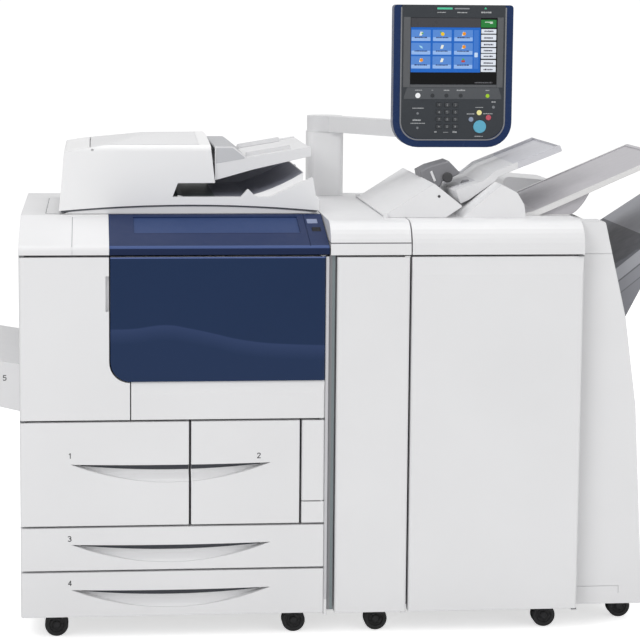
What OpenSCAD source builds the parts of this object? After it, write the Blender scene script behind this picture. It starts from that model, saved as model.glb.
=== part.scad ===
// Production office printer: print engine with document feeder, interface
// column and finisher, in millimetres. X runs to the right, Y to the back
// and Z up. Inside the modules X is zero at the left side cover, Y is zero
// at the front faces and Z is zero on the floor. The last step moves the
// middle of the footprint to the origin.

/* [Cabinets] */
// Width of the print engine over its side covers
engine_w = 690; // [660:2:740]
// Depth of the cabinets, from the front faces to the rear covers
cabinet_d = 770; // [730:5:820]
// Height of the cabinet undersides above the floor
skirt_z = 54; // [54:1:60]
// Height of the flat top deck above the floor
deck_z = 950; // [930:5:980]
// Height of the top covers, from their lower edge to the deck
top_cover_h = 71; // [66:1:80]
// Thickness of an outer plastic cover
cover_t = 4; // [3:0.5:5]
// Thickness of a steel frame sheet
sheet_t = 2.5; // [2:0.5:3]
// Thickness of a base plate
plate_t = 3; // [2.5:0.5:4]
// Gap between neighbouring front faces
row_gap = 5; // [5:0.5:7]
// Thickness of drawer fronts and doors
front_t = 28; // [26:1:32]
// Clearance between pieces that touch without a fit
seat_gap = 0.3; // [0.2:0.05:0.4]
// Radial clearance of a pin in its bore
pin_fit = 0.05; // [0.02:0.01:0.08]

/* [Paper drawers] */
// Height of the lowest drawer front
drawer_4_h = 102; // [96:1:110]
// Height of the third drawer front
drawer_3_h = 97; // [92:1:110]
// Height of the two drawer fronts that stand side by side
upper_drawer_h = 235; // [220:5:250]
// Width of the left one of the upper drawer fronts
drawer_1_w = 375; // [364:1:386]
// Width of the paper path flap beside the upper drawer fronts
flap_w = 51; // [45:1:60]
// Depth of a paper tray
tray_d = 560; // [500:10:600]
// Width of the scooped handle
scoop_w = 448; // [400:4:480]
// Height of the scooped handle at its middle
scoop_h = 40; // [34:1:44]
// Sag of the upper lip of the scooped handle
scoop_lip = 3; // [2:1:8]
// Depth of the scooped handle
scoop_d = 20; // [16:1:22]

/* [Doors] */
// Left edge of the blue panel on the front door
door_panel_x = 202; // [190:1:215]
// Left edge of the front door below its blue panel
door_foot_x = 248; // [242:1:262]
// Height of the white foot of the front door
door_foot_h = 86; // [78:1:94]
// Thickness of the blue panel on the front door
door_panel_t = 5; // [4:0.5:7]
// Radius of the lower left corner of the blue panel
door_panel_r = 46; // [36:1:48]
// Radius of a hinge pin
hinge_pin_r = 3; // [2.5:0.25:3.5]

/* [Document feeder] */
// Left end of the document feeder
feeder_x = 87; // [80:1:95]
// Distance from the right end of the document feeder to the engine's right side
feeder_end = 3; // [2:1:12]
// Front of the document feeder behind the front faces
feeder_y = 200; // [196:1:210]
// Distance from the rear of the document feeder to the rear covers
feeder_back = 130; // [126:2:150]
// Height of the crown of the document feeder above its underside
feeder_h = 169; // [160:1:176]
// Lift of the document feeder above the deck
feeder_lift = 8; // [7:0.5:10]

/* [Control panel] */
// Width of the control panel
panel_w = 290; // [280:2:300]
// Height of the control panel
panel_h = 342; // [330:2:350]
// Thickness of the control panel
panel_t = 38; // [34:1:42]
// Height of the lower edge of the control panel above the deck
panel_lift = 142; // [140:1:152]
// Width of the post that carries the control panel
post_w = 90; // [84:1:96]
// Height of the post above the deck
post_h = 162; // [160:1:172]
// Height of the swivel arm
arm_h = 40; // [36:1:44]

/* [Interface column and finisher] */
// Width of the interface column
column_w = 182; // [176:1:190]
// Width of the docking strip beside the print engine
dock_w = 14; // [10:1:16]
// Width of the finisher up to its end cover
finisher_w = 394; // [380:2:410]
// Set-back of the end cover behind the front faces
end_setback = 47; // [42:1:54]
// Width of the end cover at its foot
end_foot_w = 160; // [150:2:170]
// Width of the end cover at its top
end_top_w = 54; // [50:1:60]
// Radius of the front edge of the top covers
top_edge_r = 60; // [45:1:64]
// Length of the insert feed head from front to back
head_d = 494; // [470:2:500]
// Height of the insert feed head
head_h = 78; // [72:1:82]
// Reach of the stacker tray beyond the face of the finisher
stacker_reach = 348; // [320:4:380]

/* [Bypass tray] */
// Reach of the bypass tray beyond the left side cover
bypass_reach = 245; // [220:5:270]
// Width of the bypass tray from front to back
bypass_d = 520; // [480:5:540]

/* [Casters] */
// Radius of a caster wheel
wheel_r = 26.5; // [24:0.5:26.5]
// Width of one of the twin wheels
wheel_w = 11; // [9:0.5:13]
// Horizontal offset of the wheel axle from the swivel pin
trail = 18; // [14:1:20]
// Radius of the wheel axle
axle_r = 4; // [3:0.5:5]
// Radius of the swivel pin
kingpin_r = 6; // [5:0.5:7]

/* [Hidden] */

// Colours
shell_white = [0.88, 0.89, 0.9];
door_blue = [0.13, 0.24, 0.5];
steel_grey = [0.62, 0.64, 0.66];
mid_grey = [0.45, 0.46, 0.49];
dark_grey = [0.23, 0.24, 0.27];
tyre_black = [0.06, 0.06, 0.07];

// Shared small sizes
over = 1;
edge_r = 3;
arc_steps = 4;
wide_r = 30;
bow_steps = 12;
round_fn = 48;
seam_w = 1.5;
seam_deep = 1.5;

// Heights of the front, from the floor up
sill_h = 6;
row_4_z = skirt_z + sill_h;
row_3_z = row_4_z + drawer_4_h + row_gap;
row_1_z = row_3_z + drawer_3_h + row_gap;
door_z = row_1_z + upper_drawer_h + row_gap;
top_z = deck_z - top_cover_h;
door_top = top_z - row_gap;

// Widths of the front, from the left
face_inset = 2;
right_trim = 8;
face_x0 = face_inset;
face_x1 = engine_w - right_trim;
drawer_1_x1 = face_x0 + drawer_1_w;
drawer_2_x0 = drawer_1_x1 + row_gap;
flap_x0 = face_x1 - flap_w;
drawer_2_x1 = flap_x0 - row_gap;
flap_z0 = row_1_z + 51;

// Steel frame of the print engine
frame_y0 = front_t + cover_t;
frame_y1 = cabinet_d - cover_t - seat_gap;
base_rise = 8;
base_z = skirt_z + base_rise;
wall_x0 = cover_t + seat_gap;
wall_x1 = engine_w - cover_t - seat_gap;
runner_w = 10;
tray_side_gap = 3;
tray_lift = 8;
tray_drop = 18;
stop_share = [0.62, 0.78];
hinge_out = 6;
tab_w = 12;
tab_t = 2;
tab_y = 1;
scoop_x = engine_w / 2 - 8;
scoop_share = [[1, 0.6, 5], [0.25, 0.92, 14], [0, 1.3, 0]];
scoop_1_lift = 140;
scoop_3_lift = 59;
scoop_4_lift = 62;
mid_wall_x = drawer_1_x1 + row_gap / 2;
flap_wall_x = drawer_2_x1 + row_gap / 2;
rear_axle_y = cabinet_d - 80;
wheel_z = wheel_r;

vent_count = 8;
vent_pitch = 14;
vent_h = 6;
vent_x = [120, engine_w - 278];
vent_z = door_z + 111;
inlet_x = [engine_w - 138, engine_w - 90];
inlet_z = [skirt_z + 56, skirt_z + 88];
notch_w = 10;
notch_deep = 10;
notch_z = [door_z + 244, door_z + 323];
pull_share = 0.65;

// Interface column and finisher places
column_x = engine_w + 2;
column_x1 = column_x + column_w;
column_door_x = column_x + dock_w + face_inset;
column_door_x1 = column_x1 - face_inset;
finisher_x = column_x1 + face_inset;
finisher_x1 = finisher_x + finisher_w;
finisher_door_x0 = finisher_x + face_inset / 2;
finisher_door_x1 = finisher_x1 - face_inset;
end_x = finisher_x1 + face_inset;
leaf_z0 = skirt_z + 4;
leaf_top = top_z - row_gap - face_inset;
core_y = front_t + 16;

// Printing parts inside the print engine
unit_gap = 4;
unit_d = 516;
drum_r = 42;
drum_x = engine_w - 298;
drum_z = door_z + 190;
bay_gap = 0.5;
bay_half = 68;
drum_len = 480;
shaft_r = 8;
shaft_len = 12;
fuser_r = 24;
fuser_x = engine_w - 113;
fuser_z = door_z + 180;
bottle_r = 46;
bottle_len = 430;
bottle_x = 125;
bottle_z = door_z + 200;
grip_r = 20;
grip_h = 8;

// Scanner on top of the print engine
slope_lip = 18;
slope_d = 190;
slope_r = 14;
band_run = 16;
skin_t = 5;
skin_share = [0.1, 0.2];
glass_t = 4;
glass_ledge = 4;
glass_x = [60, engine_w - 58];
glass_y = [feeder_y + 26, cabinet_d - 152];
scan_x = [30, engine_w - 30];
scan_y = [feeder_y + 12, cabinet_d - 30];
scan_floor = 8;
rail_r = 4;
rail_y = cabinet_d - 345;
rail_lift = 26;
carriage_x = [50, 92];
cover_split_x = 200;
left_seam_x = 118;
right_seam_x = engine_w - 43;
ledge_x = [256, engine_w - 58];
ledge_share = [0.42, 0.94];
ledge_deep = 3;
slope_turn = atan2(top_cover_h - slope_lip, slope_d);
switch_x = [engine_w - 30, face_x1 - 2];
switch_share = 0.52;
switch_len = 22;
switch_deep = 8;
switch_pin_r = 1.4;
switch_tilt = 8;
switch_pin_out = 2;
switch_foot_share = 0.8;

// Document feeder
feeder_x1 = engine_w - feeder_end;
feeder_w = feeder_x1 - feeder_x;
feeder_y1 = cabinet_d - feeder_back;
feeder_z = deck_z + feeder_lift;
feeder_lean = 12;
feeder_axis_y = feeder_y1 + 14;
feeder_axis_z = deck_z + 17;
feeder_pin_r = 5;
feeder_lug_r = 12;
feeder_lug_w = 26;
feeder_lug_share = [0.08, 0.86];
feeder_arch = 14;
crown_share = [[0.02, 0.8], [0.33, 0.98]];
ridge_share = [[0.697, 0], [0.724, 0.3], [0.755, 0], [0.81, 0], [0.975, 0.46], [0.988, 0]];
stack_share = [0.94, 0.52];
dome_share = [0.89, 0.57, 0.84];
lid_share = [0.055, 0.9, 0.855];
root_share = [[0, 0.41], [0.747, 0.56]];
slab_h = 32;
slot_h = 64;
stack_x = feeder_x + 0.597 * feeder_w;
slot_x = feeder_x + 0.434 * feeder_w;
lid_x = [feeder_x + 0.105 * feeder_w, feeder_x + 0.535 * feeder_w];
lid_t = 34;
lid_inset = 14;
lid_pin_r = 3;
tray_rim = 10;
tray_end_h = 22;
tray_root_z = feeder_z + 0.645 * feeder_h;
tray_end_x = feeder_x + 0.969 * feeder_w;
tray_end_z = feeder_z + 0.87 * feeder_h;
tray_y = [feeder_y + 15, feeder_y1 - 15];
guide_h = 11;
hood_w = 72;
guide_x = [stack_x + hood_w + edge_r, stack_x + 180];
hood_flat_share = 0.6;
hood_share = 0.87;
hood_wall = 5;
guide_t = 4;
guide_foot = 30;

// Control panel and its arm
post_x = column_x + 63;
post_y = cabinet_d - 50;
post_d = 80;
post_pin_r = 12;
post_pin_h = 24;
arm_w = 44;
panel_x = column_x + 338;
panel_y = cabinet_d - 370;
elbow = [column_x + 230, panel_y + 84];
panel_z = deck_z + panel_lift;
panel_axis_y = panel_y + panel_t + 12;
panel_axis_z = deck_z + 181;
barrel_r = 10;
barrel_w = 60;
ear_t = 9;
tilt_pin_r = 4;
panel_corner_r = 60;
panel_top_r = 8;
bezel_side = 19;
bezel_foot = 20;
bezel_t = 6;
bezel_corner_r = 46;
screen_x = [panel_x - 0.359 * panel_w, panel_x + 0.366 * panel_w];
screen_z = [panel_z + 0.444 * panel_h, panel_z + 0.909 * panel_h];
screen_t = 3;
key_proud = 1.5;
start_at = [panel_x + 67, panel_z + 50];
start_r = 15.5;
stop_at = [panel_x + 88, panel_z + 72];
stop_r = 6.5;
key_at = [panel_x - 33, panel_z + 50];
key_pitch = [20, 17.5];
key_size = [13, 9];
key_cols = 3;
key_rows = 4;

// Insert feeder and output trays
head_x = finisher_x - 52;
head_y = 107;
head_nose_r = 4;
head_pin_r = 2.5;
head_ear_t = 10;
head_w = 183;
head_peak_share = 0.64;
head_tail_share = 0.33;
head_foot_share = 0.79;
hump_x = [finisher_x + 128, finisher_x1 - 117];
hump_y = [100, cabinet_d - 160];
hump_h = 76;
hump_peak_share = 0.62;
hump_share = [[0.4, 0.66, 6], [hump_peak_share, 1, 1], [0.86, 0.76, 14], [0.97, 0.4, 14]];
insert_x = [hump_x[0] + 1, finisher_x1 - 16];
insert_y = [190, cabinet_d - 270];
insert_h = 137;
insert_tip = [1, 0.898];
insert_back = [0.98, 1];
insert_step = [0.369, 0.555];
insert_share = [[0.044, 0, 3], [0.129, 0.073, 3], [0.368, 0.382, 3], [0.398, 0.46, 3]];
insert_top_share = [[0.261, 0.394, 3], [0, 0.24, 3]];
insert_rim = 7;
output_x = [finisher_x1 - 108, finisher_x1 + 224];
output_y = [150, cabinet_d - 250];
output_foot = 20;
output_rise = 134;
output_t = 10;
gusset_t = 12;
fence_x = [finisher_x1 - 76, finisher_x1 + 60];
fence_y = [cabinet_d - 190, cabinet_d - 10];
fence_h = 57;
fence_share = 0.8;

// End cover and stacker tray
end_z = base_z + plate_t + seat_gap;
end_top_z = deck_z - 4;
end_share = [[0.66, 0.755], [0.84, 0.523]];
cheek_d = 70;
cheek_rear_y = cabinet_d - 130;
web_t = 19;
slot_w = 16;
slot_y = [210, cabinet_d - 220];
slot_z = [2 * cheek_d, end_top_z - 20];
stacker_y = [cheek_d + end_setback + 13, cheek_rear_y - 20];
stacker_x = end_x + web_t + 2;
stacker_z = end_top_z - 158;
stacker_rise = 214;
stacker_t = 20;
stacker_drop = 232;
stacker_tongue = [stacker_z - 190, stacker_z - 20];
stacker_ribs = 7;
stacker_share = [[0.55, 0.4], [0.305, -0.31]];
rib_t = 4;
rib_h = 5;

// Bypass tray
bypass_y = 90;
bypass_z = door_z + 5;
bypass_h = 108;
bypass_box = 60;
bypass_rise = 42;
bypass_lip = 24;
bypass_share = 0.6;

// Casters: x of the wheel, y of the wheel and side of the swivel pin
caster_places = [[79, 70, 1], [engine_w - 70, 70, -1], [column_x + 118, 70, -1],
  [end_x - 68, 70, -1], [end_x + 126, 135, -1]];
rear_places = [97, engine_w - 98, column_x + 100, finisher_x + 46, end_x + 110];
web_w = 8;
web_gap = 0.5;
fork_z = base_z - 5;
fork_t = 3.5;
hood_r = 22;
dish_share = [0.66, 0.6, 0.36, 0.3];

// Whole footprint
x_min = -bypass_reach;
x_max = stacker_x + stacker_reach;

// A corner rounded by a tangent arc: each point is x, y and radius
function flat(p) = [p[0], p[1]];
function unit(v) = v / norm(v);
function turned(v, a) = [v[0] * cos(a) - v[1] * sin(a), v[0] * sin(a) + v[1] * cos(a)];
function corner_arc(a, b, c) =
  let (p = flat(b), u = unit(flat(a) - p), v = unit(flat(c) - p), r = len(b) > 2 ? b[2] : 0)
  r <= 0 ? [p] :
  let (half = acos(u * v) / 2, mid = p + unit(u + v) * r / sin(half),
    start = p + u * r / tan(half) - mid, end = p + v * r / tan(half) - mid,
    turn = atan2(start[0] * end[1] - start[1] * end[0], start * end))
  let (steps = r > wide_r ? 2 * arc_steps : arc_steps)
  [for (i = [0:steps]) mid + turned(start, turn * i / steps)];
function soft(pts) =
  let (n = len(pts))
  [for (i = [0:n - 1]) each corner_arc(pts[(i + n - 1) % n], pts[i], pts[(i + 1) % n])];

// A shallow bow from p to q that sags by the given depth at its middle
function bow(p, q, sag) =
  [for (i = [0:bow_steps]) let (s = i / bow_steps) p + (q - p) * s - [0, sag * 4 * s * (1 - s)]];

// Places along a line
function along(a, b, s) = a + (b - a) * s;

// Basic solids, each named for the way that it runs
module block(x, y, z) {
  translate([x[0], y[0], z[0]]) cube([x[1] - x[0], y[1] - y[0], z[1] - z[0]]);
}
module prism_x(x) {
  translate([x[0], 0, 0]) rotate([90, 0, 90]) linear_extrude(x[1] - x[0]) children();
}
module prism_y(y) {
  translate([0, y[1], 0]) rotate([90, 0, 0]) linear_extrude(y[1] - y[0]) children();
}
module prism_z(z) {
  translate([0, 0, z[0]]) linear_extrude(z[1] - z[0]) children();
}
module rod_x(x, y, z, r) {
  translate([x[0], y, z]) rotate([0, 90, 0]) cylinder(h = x[1] - x[0], r = r, $fn = round_fn);
}
module rod_y(y, x, z, r) {
  translate([x, y[0], z]) rotate([-90, 0, 0]) cylinder(h = y[1] - y[0], r = r, $fn = round_fn);
}
module rod_z(z, x, y, r) {
  translate([x, y, z[0]]) cylinder(h = z[1] - z[0], r = r, $fn = round_fn);
}
module place() {
  translate([-(x_min + x_max) / 2, -cabinet_d / 2, 0]) children();
}

// Front faces and doors: a slab whose front corners are round
module face(x, z, r = edge_r) {
  prism_z(z) polygon(soft([[x[0], front_t], [x[0], 0, r], [x[1], 0, r], [x[1], front_t]]));
}

// Crescent that is scooped out of a drawer front as its handle: deep under its
// upper lip, from where its floor sweeps forward to the face
module scoop(z) {
  left = [scoop_x - scoop_w / 2, z];
  right = [scoop_x + scoop_w / 2, z];
  intersection() {
    prism_y([-over, scoop_d]) polygon(concat(bow(left, right, scoop_h + scoop_lip),
      bow(right, left, scoop_lip)));
    prism_x([left[0], right[0]]) polygon(soft([[-over, z], [scoop_d, z],
      for (s = scoop_share) [scoop_d * s[0], z - scoop_h * s[1], s[2]],
      [-over, z - scoop_h * scoop_share[2][1]]]));
  }
}

module drawer_front(x, z0, h, lift) {
  color(shell_white) difference() {
    face(x, [z0, z0 + h]);
    scoop(z0 + lift);
  }
}

// Open steel tray with a raised stop and side guides for the paper
module paper_tray(x, z, share) {
  y0 = front_t;
  y1 = front_t + tray_d;
  stop_y = along(y0, y1, share);
  guide_z = z[1] - tray_lift;
  color(steel_grey) difference() {
    block(x, [y0, y1], z);
    block([x[0] + sheet_t, x[1] - sheet_t], [y0 + sheet_t, stop_y], [z[0] + sheet_t, z[1] + over]);
    block([x[0] + sheet_t, x[1] - sheet_t], [stop_y + sheet_t, y1 - sheet_t],
      [z[0] + sheet_t, z[1] + over]);
    block([x[0] + runner_w, x[1] - runner_w], [stop_y - over, stop_y + sheet_t + over],
      [guide_z, z[1] + over]);
    block([x[0] - over, x[0] + sheet_t + over], [stop_y, y1 + over], [guide_z, z[1] + over]);
    block([x[1] - sheet_t - over, x[1] + over], [stop_y, y1 + over], [guide_z, z[1] + over]);
  }
}

tray_1_x = [wall_x0 + sheet_t + tray_side_gap, mid_wall_x - sheet_t / 2 - tray_side_gap];
tray_2_x = [mid_wall_x + sheet_t / 2 + tray_side_gap, flap_wall_x - sheet_t / 2 - tray_side_gap];
tray_3_x = [wall_x0 + sheet_t + tray_side_gap, wall_x1 - sheet_t - tray_side_gap];
tray_1_z = [row_1_z + tray_lift, row_1_z + upper_drawer_h - tray_drop];
tray_3_z = [row_3_z + tray_lift, row_3_z + drawer_3_h - tray_drop];
tray_4_z = [row_4_z + tray_lift + sheet_t, row_4_z + drawer_4_h - tray_drop];

module drawer_1_front() { drawer_front([face_x0, drawer_1_x1], row_1_z, upper_drawer_h, scoop_1_lift); }
module drawer_2_front() { drawer_front([drawer_2_x0, drawer_2_x1], row_1_z, upper_drawer_h, scoop_1_lift); }
module drawer_3_front() { drawer_front([face_x0, face_x1], row_3_z, drawer_3_h, scoop_3_lift); }
module drawer_4_front() { drawer_front([face_x0, face_x1], row_4_z, drawer_4_h, scoop_4_lift); }
module drawer_1_tray() { paper_tray(tray_1_x, tray_1_z, stop_share[0]); }
module drawer_2_tray() { paper_tray(tray_2_x, tray_1_z, stop_share[0]); }
module drawer_3_tray() { paper_tray(tray_3_x, tray_3_z, stop_share[1]); }
module drawer_4_tray() { paper_tray(tray_3_x, tray_4_z, stop_share[1]); }

// Runner ledge that carries one side of a tray
module runner(x, z) {
  block(x, [frame_y0, frame_y0 + tray_d], [z - seat_gap - sheet_t, z - seat_gap]);
}

// Tab with the bore that a hinge pin turns in
module hinge_tab(x, z) {
  neck = [max(x - tab_w / 2, shelf_x[0] + seat_gap), min(x + tab_w / 2, shelf_x[1] - seat_gap)];
  block([x - tab_w / 2, x + tab_w / 2], [tab_y, front_t], z);
  block(neck, [front_t - over, frame_y0 + over], z);
}

module pin_bore(x, z) {
  rod_z([z[0] - over, z[1] + over], x, hinge_out, hinge_pin_r + pin_fit);
}

module hinge_pin(x, z) {
  rod_z(z, x, hinge_out, hinge_pin_r);
}

// Rigid rear caster web with the bore for its axle
module rear_web(x) {
  difference() {
    union() {
      block([x - web_w / 2, x + web_w / 2], [rear_axle_y - 2 * axle_r, rear_axle_y + 2 * axle_r],
        [wheel_z, base_z - seat_gap]);
      rod_x([x - web_w / 2, x + web_w / 2], rear_axle_y, wheel_z, 2 * axle_r);
    }
    rod_x([x - web_w, x + web_w], rear_axle_y, wheel_z, axle_r + pin_fit);
  }
}

module base_plate(x, y0, pins, webs) {
  difference() {
    block(x, [y0, frame_y1 - sheet_t - seat_gap], [base_z, base_z + plate_t]);
    for (i = pins) kingpin_bore(i);
  }
  for (i = webs) rear_web(rear_places[i]);
}

function pin_x(i) = caster_places[i][0] + caster_places[i][2] * trail;

module kingpin_bore(i) {
  rod_z([base_z - over, base_z + plate_t + over], pin_x(i), caster_places[i][1], kingpin_r + pin_fit);
}

// A level sheet between the frame walls
module shelf(x, z) {
  block([x[0] + seat_gap, x[1] - seat_gap], [frame_y0, frame_y1 - sheet_t - seat_gap],
    [z - sheet_t / 2, z + sheet_t / 2]);
}

shelf_x = [wall_x0 + sheet_t, wall_x1 - sheet_t];
shelf_34_z = row_3_z - row_gap / 2;
shelf_13_z = row_1_z - row_gap / 2;
shelf_door_z = door_z - row_gap / 2;
shelf_top_z = top_z - row_gap / 2;
front_axis_x = face_x1 - hinge_out;
toner_axis_x = face_x0 + hinge_out;

module engine_frame() {
  wall_z = [base_z, top_z];
  deep = [frame_y0, frame_y1 - sheet_t - seat_gap];
  color(steel_grey) {
    // Left wall with its runners
    block([wall_x0, wall_x0 + sheet_t], deep, wall_z);
    for (z = [tray_1_z[0], tray_3_z[0], tray_4_z[0]])
      runner([wall_x0 + sheet_t + seat_gap, wall_x0 + sheet_t + runner_w], z);
    // Right wall with its runners
    block([wall_x1 - sheet_t, wall_x1], deep, wall_z);
    for (z = [tray_3_z[0], tray_4_z[0]])
      runner([wall_x1 - sheet_t - runner_w, wall_x1 - sheet_t - seat_gap], z);
    // Walls between the upper drawers
    for (x = [mid_wall_x, flap_wall_x])
      block([x - sheet_t / 2, x + sheet_t / 2], deep,
        [shelf_13_z + sheet_t / 2 + seat_gap, shelf_door_z - sheet_t / 2 - seat_gap]);
    runner([mid_wall_x - runner_w, mid_wall_x - sheet_t / 2 - seat_gap], tray_1_z[0]);
    runner([mid_wall_x + sheet_t / 2 + seat_gap, mid_wall_x + runner_w], tray_1_z[0]);
    runner([flap_wall_x - runner_w, flap_wall_x - sheet_t / 2 - seat_gap], tray_1_z[0]);
    // Rear wall
    block([wall_x0, wall_x1], [frame_y1 - sheet_t, frame_y1], wall_z);
    // Shelves under the rows
    shelf(shelf_x, shelf_34_z);
    shelf(shelf_x, shelf_13_z);
    for (z = [shelf_door_z, shelf_top_z]) difference() {
      union() {
        shelf(shelf_x, z);
        for (x = [toner_axis_x, front_axis_x]) hinge_tab(x, [z - tab_t / 2, z + tab_t / 2]);
      }
      for (x = [toner_axis_x, front_axis_x]) pin_bore(x, [z - tab_t / 2, z + tab_t / 2]);
    }
    base_plate([shelf_x[0] + seat_gap, shelf_x[1] - seat_gap], frame_y0, [0, 1], [0, 1]);
  }
}

// Side and rear covers, with the sill below the transport flap
module outer_covers() {
  side_z = [skirt_z, door_top];
  rear_y = [frame_y1 + seat_gap, cabinet_d];
  color(shell_white) {
    difference() {
      block([0, cover_t], [front_t + face_inset, cabinet_d], side_z);
      block([-over, cover_t + over], [bypass_y + 2 * edge_r, bypass_y + bypass_d - 2 * edge_r],
        [bypass_z + bypass_h / 3, bypass_z + bypass_h - edge_r]);
    }
    // Right cover with its front return beside the doors
    block([engine_w - cover_t, engine_w], [front_t, cabinet_d], side_z);
    prism_z(side_z) polygon(soft([[face_x1 + 2 * seat_gap, front_t + over],
      [face_x1 + 2 * seat_gap, 0, edge_r], [engine_w, 0, edge_r], [engine_w, front_t + over]]));
    // Rear cover with louvres and the recess of the power inlet
    difference() {
      block([cover_t + seat_gap, engine_w - cover_t - seat_gap], rear_y, side_z);
      for (i = [0:vent_count - 1])
        block(vent_x, [rear_y[0] - over, rear_y[1] + over],
          [vent_z + i * vent_pitch, vent_z + i * vent_pitch + vent_h]);
      block(inlet_x, [rear_y[0] - over, rear_y[1] + over], inlet_z);
    }
    // Sill below the transport flap
    difference() {
      face([flap_x0, face_x1], [row_1_z, flap_z0 - row_gap / 2]);
      rod_z([flap_z0 - row_gap, flap_z0], front_axis_x, hinge_out, hinge_pin_r + pin_fit);
    }
  }
}

// Outline of the front of the scanner, across the machine
function slope_line(t) = [[t, top_z], [t, top_z + slope_lip - t * skin_share[0], slope_r - t],
  [slope_d + t * skin_share[1], deck_z - t, slope_r], [cabinet_d / 2, deck_z - t]];

module slope_band(x, t0, t1) {
  prism_x(x) polygon(concat(soft_open(slope_line(t0)), soft_back(slope_line(t1))));
}

// Rounded points of an open line, and the same line backwards
function soft_open(pts) =
  [pts[0], each corner_arc(pts[0], pts[1], pts[2]), each corner_arc(pts[1], pts[2], pts[3]), band_end(pts)];
function band_end(pts) = [slope_d + band_run, pts[3][1]];
function soft_back(pts) = let (a = soft_open(pts), n = len(a)) [for (i = [0:n - 1]) a[n - 1 - i]];

module scanner_housing() {
  seat_x = [glass_x[0] - glass_ledge - seat_gap, glass_x[1] + glass_ledge + seat_gap];
  seat_y = [glass_y[0] - glass_ledge - seat_gap, glass_y[1] + glass_ledge + seat_gap];
  color(shell_white) difference() {
    union() {
      difference() {
        prism_x([0, engine_w]) polygon(soft([[0, top_z], [0, top_z + slope_lip, slope_r],
          [slope_d, deck_z, slope_r], [cabinet_d, deck_z, edge_r], [cabinet_d, top_z]]));
        slope_band([cover_split_x, engine_w + over], -over, skin_t + seat_gap);
        block(scan_x, scan_y, [top_z + scan_floor, deck_z - glass_t - sheet_t]);
        block(seat_x, seat_y, [deck_z - glass_t - seat_gap, deck_z + over]);
        block(glass_x, glass_y, [deck_z - 2 * glass_t - sheet_t, deck_z]);
        // Pocket behind the power switch
        switch_pocket(switch_deep + skin_t);
        switch_bore();
        // Seam of the left end piece
        block([left_seam_x, left_seam_x + seam_w], [-over, seam_deep], [top_z - over, top_z + slope_lip]);
      }
      // Rail that the carriage runs on
      rod_x([scan_x[0] - over, scan_x[1] + over], rail_y, top_z + rail_lift, rail_r);
      // Towers that carry the document feeder
      for (s = feeder_lug_share) feeder_tower(along(feeder_x, feeder_x1, s));
    }
  }
}

// Hinge tower with the pin that the lug of the document feeder turns on
module feeder_tower(x) {
  tower_x = [x + feeder_lug_w + seat_gap, x + 2 * feeder_lug_w];
  block(tower_x, [feeder_axis_y - feeder_pin_r, feeder_axis_y + feeder_lug_r],
    [deck_z - over, feeder_axis_z]);
  rod_x(tower_x, feeder_axis_y, feeder_axis_z, feeder_lug_r);
  rod_x([x + edge_r, tower_x[1]], feeder_axis_y, feeder_axis_z, feeder_pin_r);
}

module platen_glass() {
  color([0.55, 0.68, 0.72]) block([glass_x[0] - glass_ledge, glass_x[1] + glass_ledge],
    [glass_y[0] - glass_ledge, glass_y[1] + glass_ledge], [deck_z - glass_t, deck_z]);
}

// Frame that lies on the slope, with X along the machine and Y up the slope
module on_slope() {
  translate([0, 0, top_z + slope_lip]) rotate([slope_turn, 0, 0]) children();
}

slope_len = norm([slope_d, top_cover_h - slope_lip]);

module switch_pocket(deep) {
  on_slope() block([switch_x[0] - seat_gap, switch_x[1] + seat_gap],
    [slope_len * switch_share - switch_len / 2 - seat_gap,
      slope_len * switch_share + switch_len / 2 + seat_gap],
    [-deep, over]);
}

module switch_bore() {
  on_slope() rod_x([switch_x[0] - edge_r, switch_x[1] + edge_r], slope_len * switch_share, -skin_t / 2,
    switch_pin_r + pin_fit);
}

module upper_front_panel() {
  color(door_blue) difference() {
    slope_band([cover_split_x + seat_gap, engine_w], 0, skin_t);
    on_slope() block(ledge_x, [slope_len * ledge_share[0], slope_len * ledge_share[1]],
      [-ledge_deep, skin_t]);
    on_slope() block([right_seam_x, right_seam_x + seam_w], [-slope_lip, slope_len], [-seam_deep, skin_t]);
    switch_pocket(2 * switch_deep);
    switch_bore();
  }
}

// Rocker with a dished face, tilted to its on side
module power_switch() {
  mid = slope_len * switch_share;
  half = switch_len / 2 - switch_pin_r;
  foot = half * switch_foot_share;
  color(tyre_black) on_slope() {
    translate([0, mid, -skin_t / 2]) rotate([switch_tilt, 0, 0])
      prism_x([switch_x[0] + seat_gap, switch_x[1] - seat_gap])
        polygon([[-half, switch_pin_r * 2.5], [0, switch_pin_r * 1.5], [half, switch_pin_r * 2.5],
          [foot, -switch_pin_r], [0, -2 * switch_pin_r], [-foot, -switch_pin_r]]);
    rod_x([switch_x[0] - switch_pin_out, switch_x[1] + switch_pin_out], mid, -skin_t / 2, switch_pin_r);
  }
}

module scan_carriage() {
  color(mid_grey) difference() {
    block(carriage_x, [scan_y[0] + 4 * edge_r, glass_y[1]],
      [top_z + scan_floor + edge_r, deck_z - 2 * glass_t - sheet_t - edge_r]);
    rod_x([carriage_x[0] - over, carriage_x[1] + over], rail_y, top_z + rail_lift, rail_r + pin_fit);
  }
}

// Bay for a round part that is put in from the front, with its shaft bore
module bay(x, z, r, y1) {
  rod_y([core_y - over, y1], x, z, r);
}

drum_y = [core_y + edge_r, core_y + edge_r + drum_len];
bottle_y = [core_y + edge_r, core_y + edge_r + bottle_len];
roller_x = fuser_r + seat_gap / 2;

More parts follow.
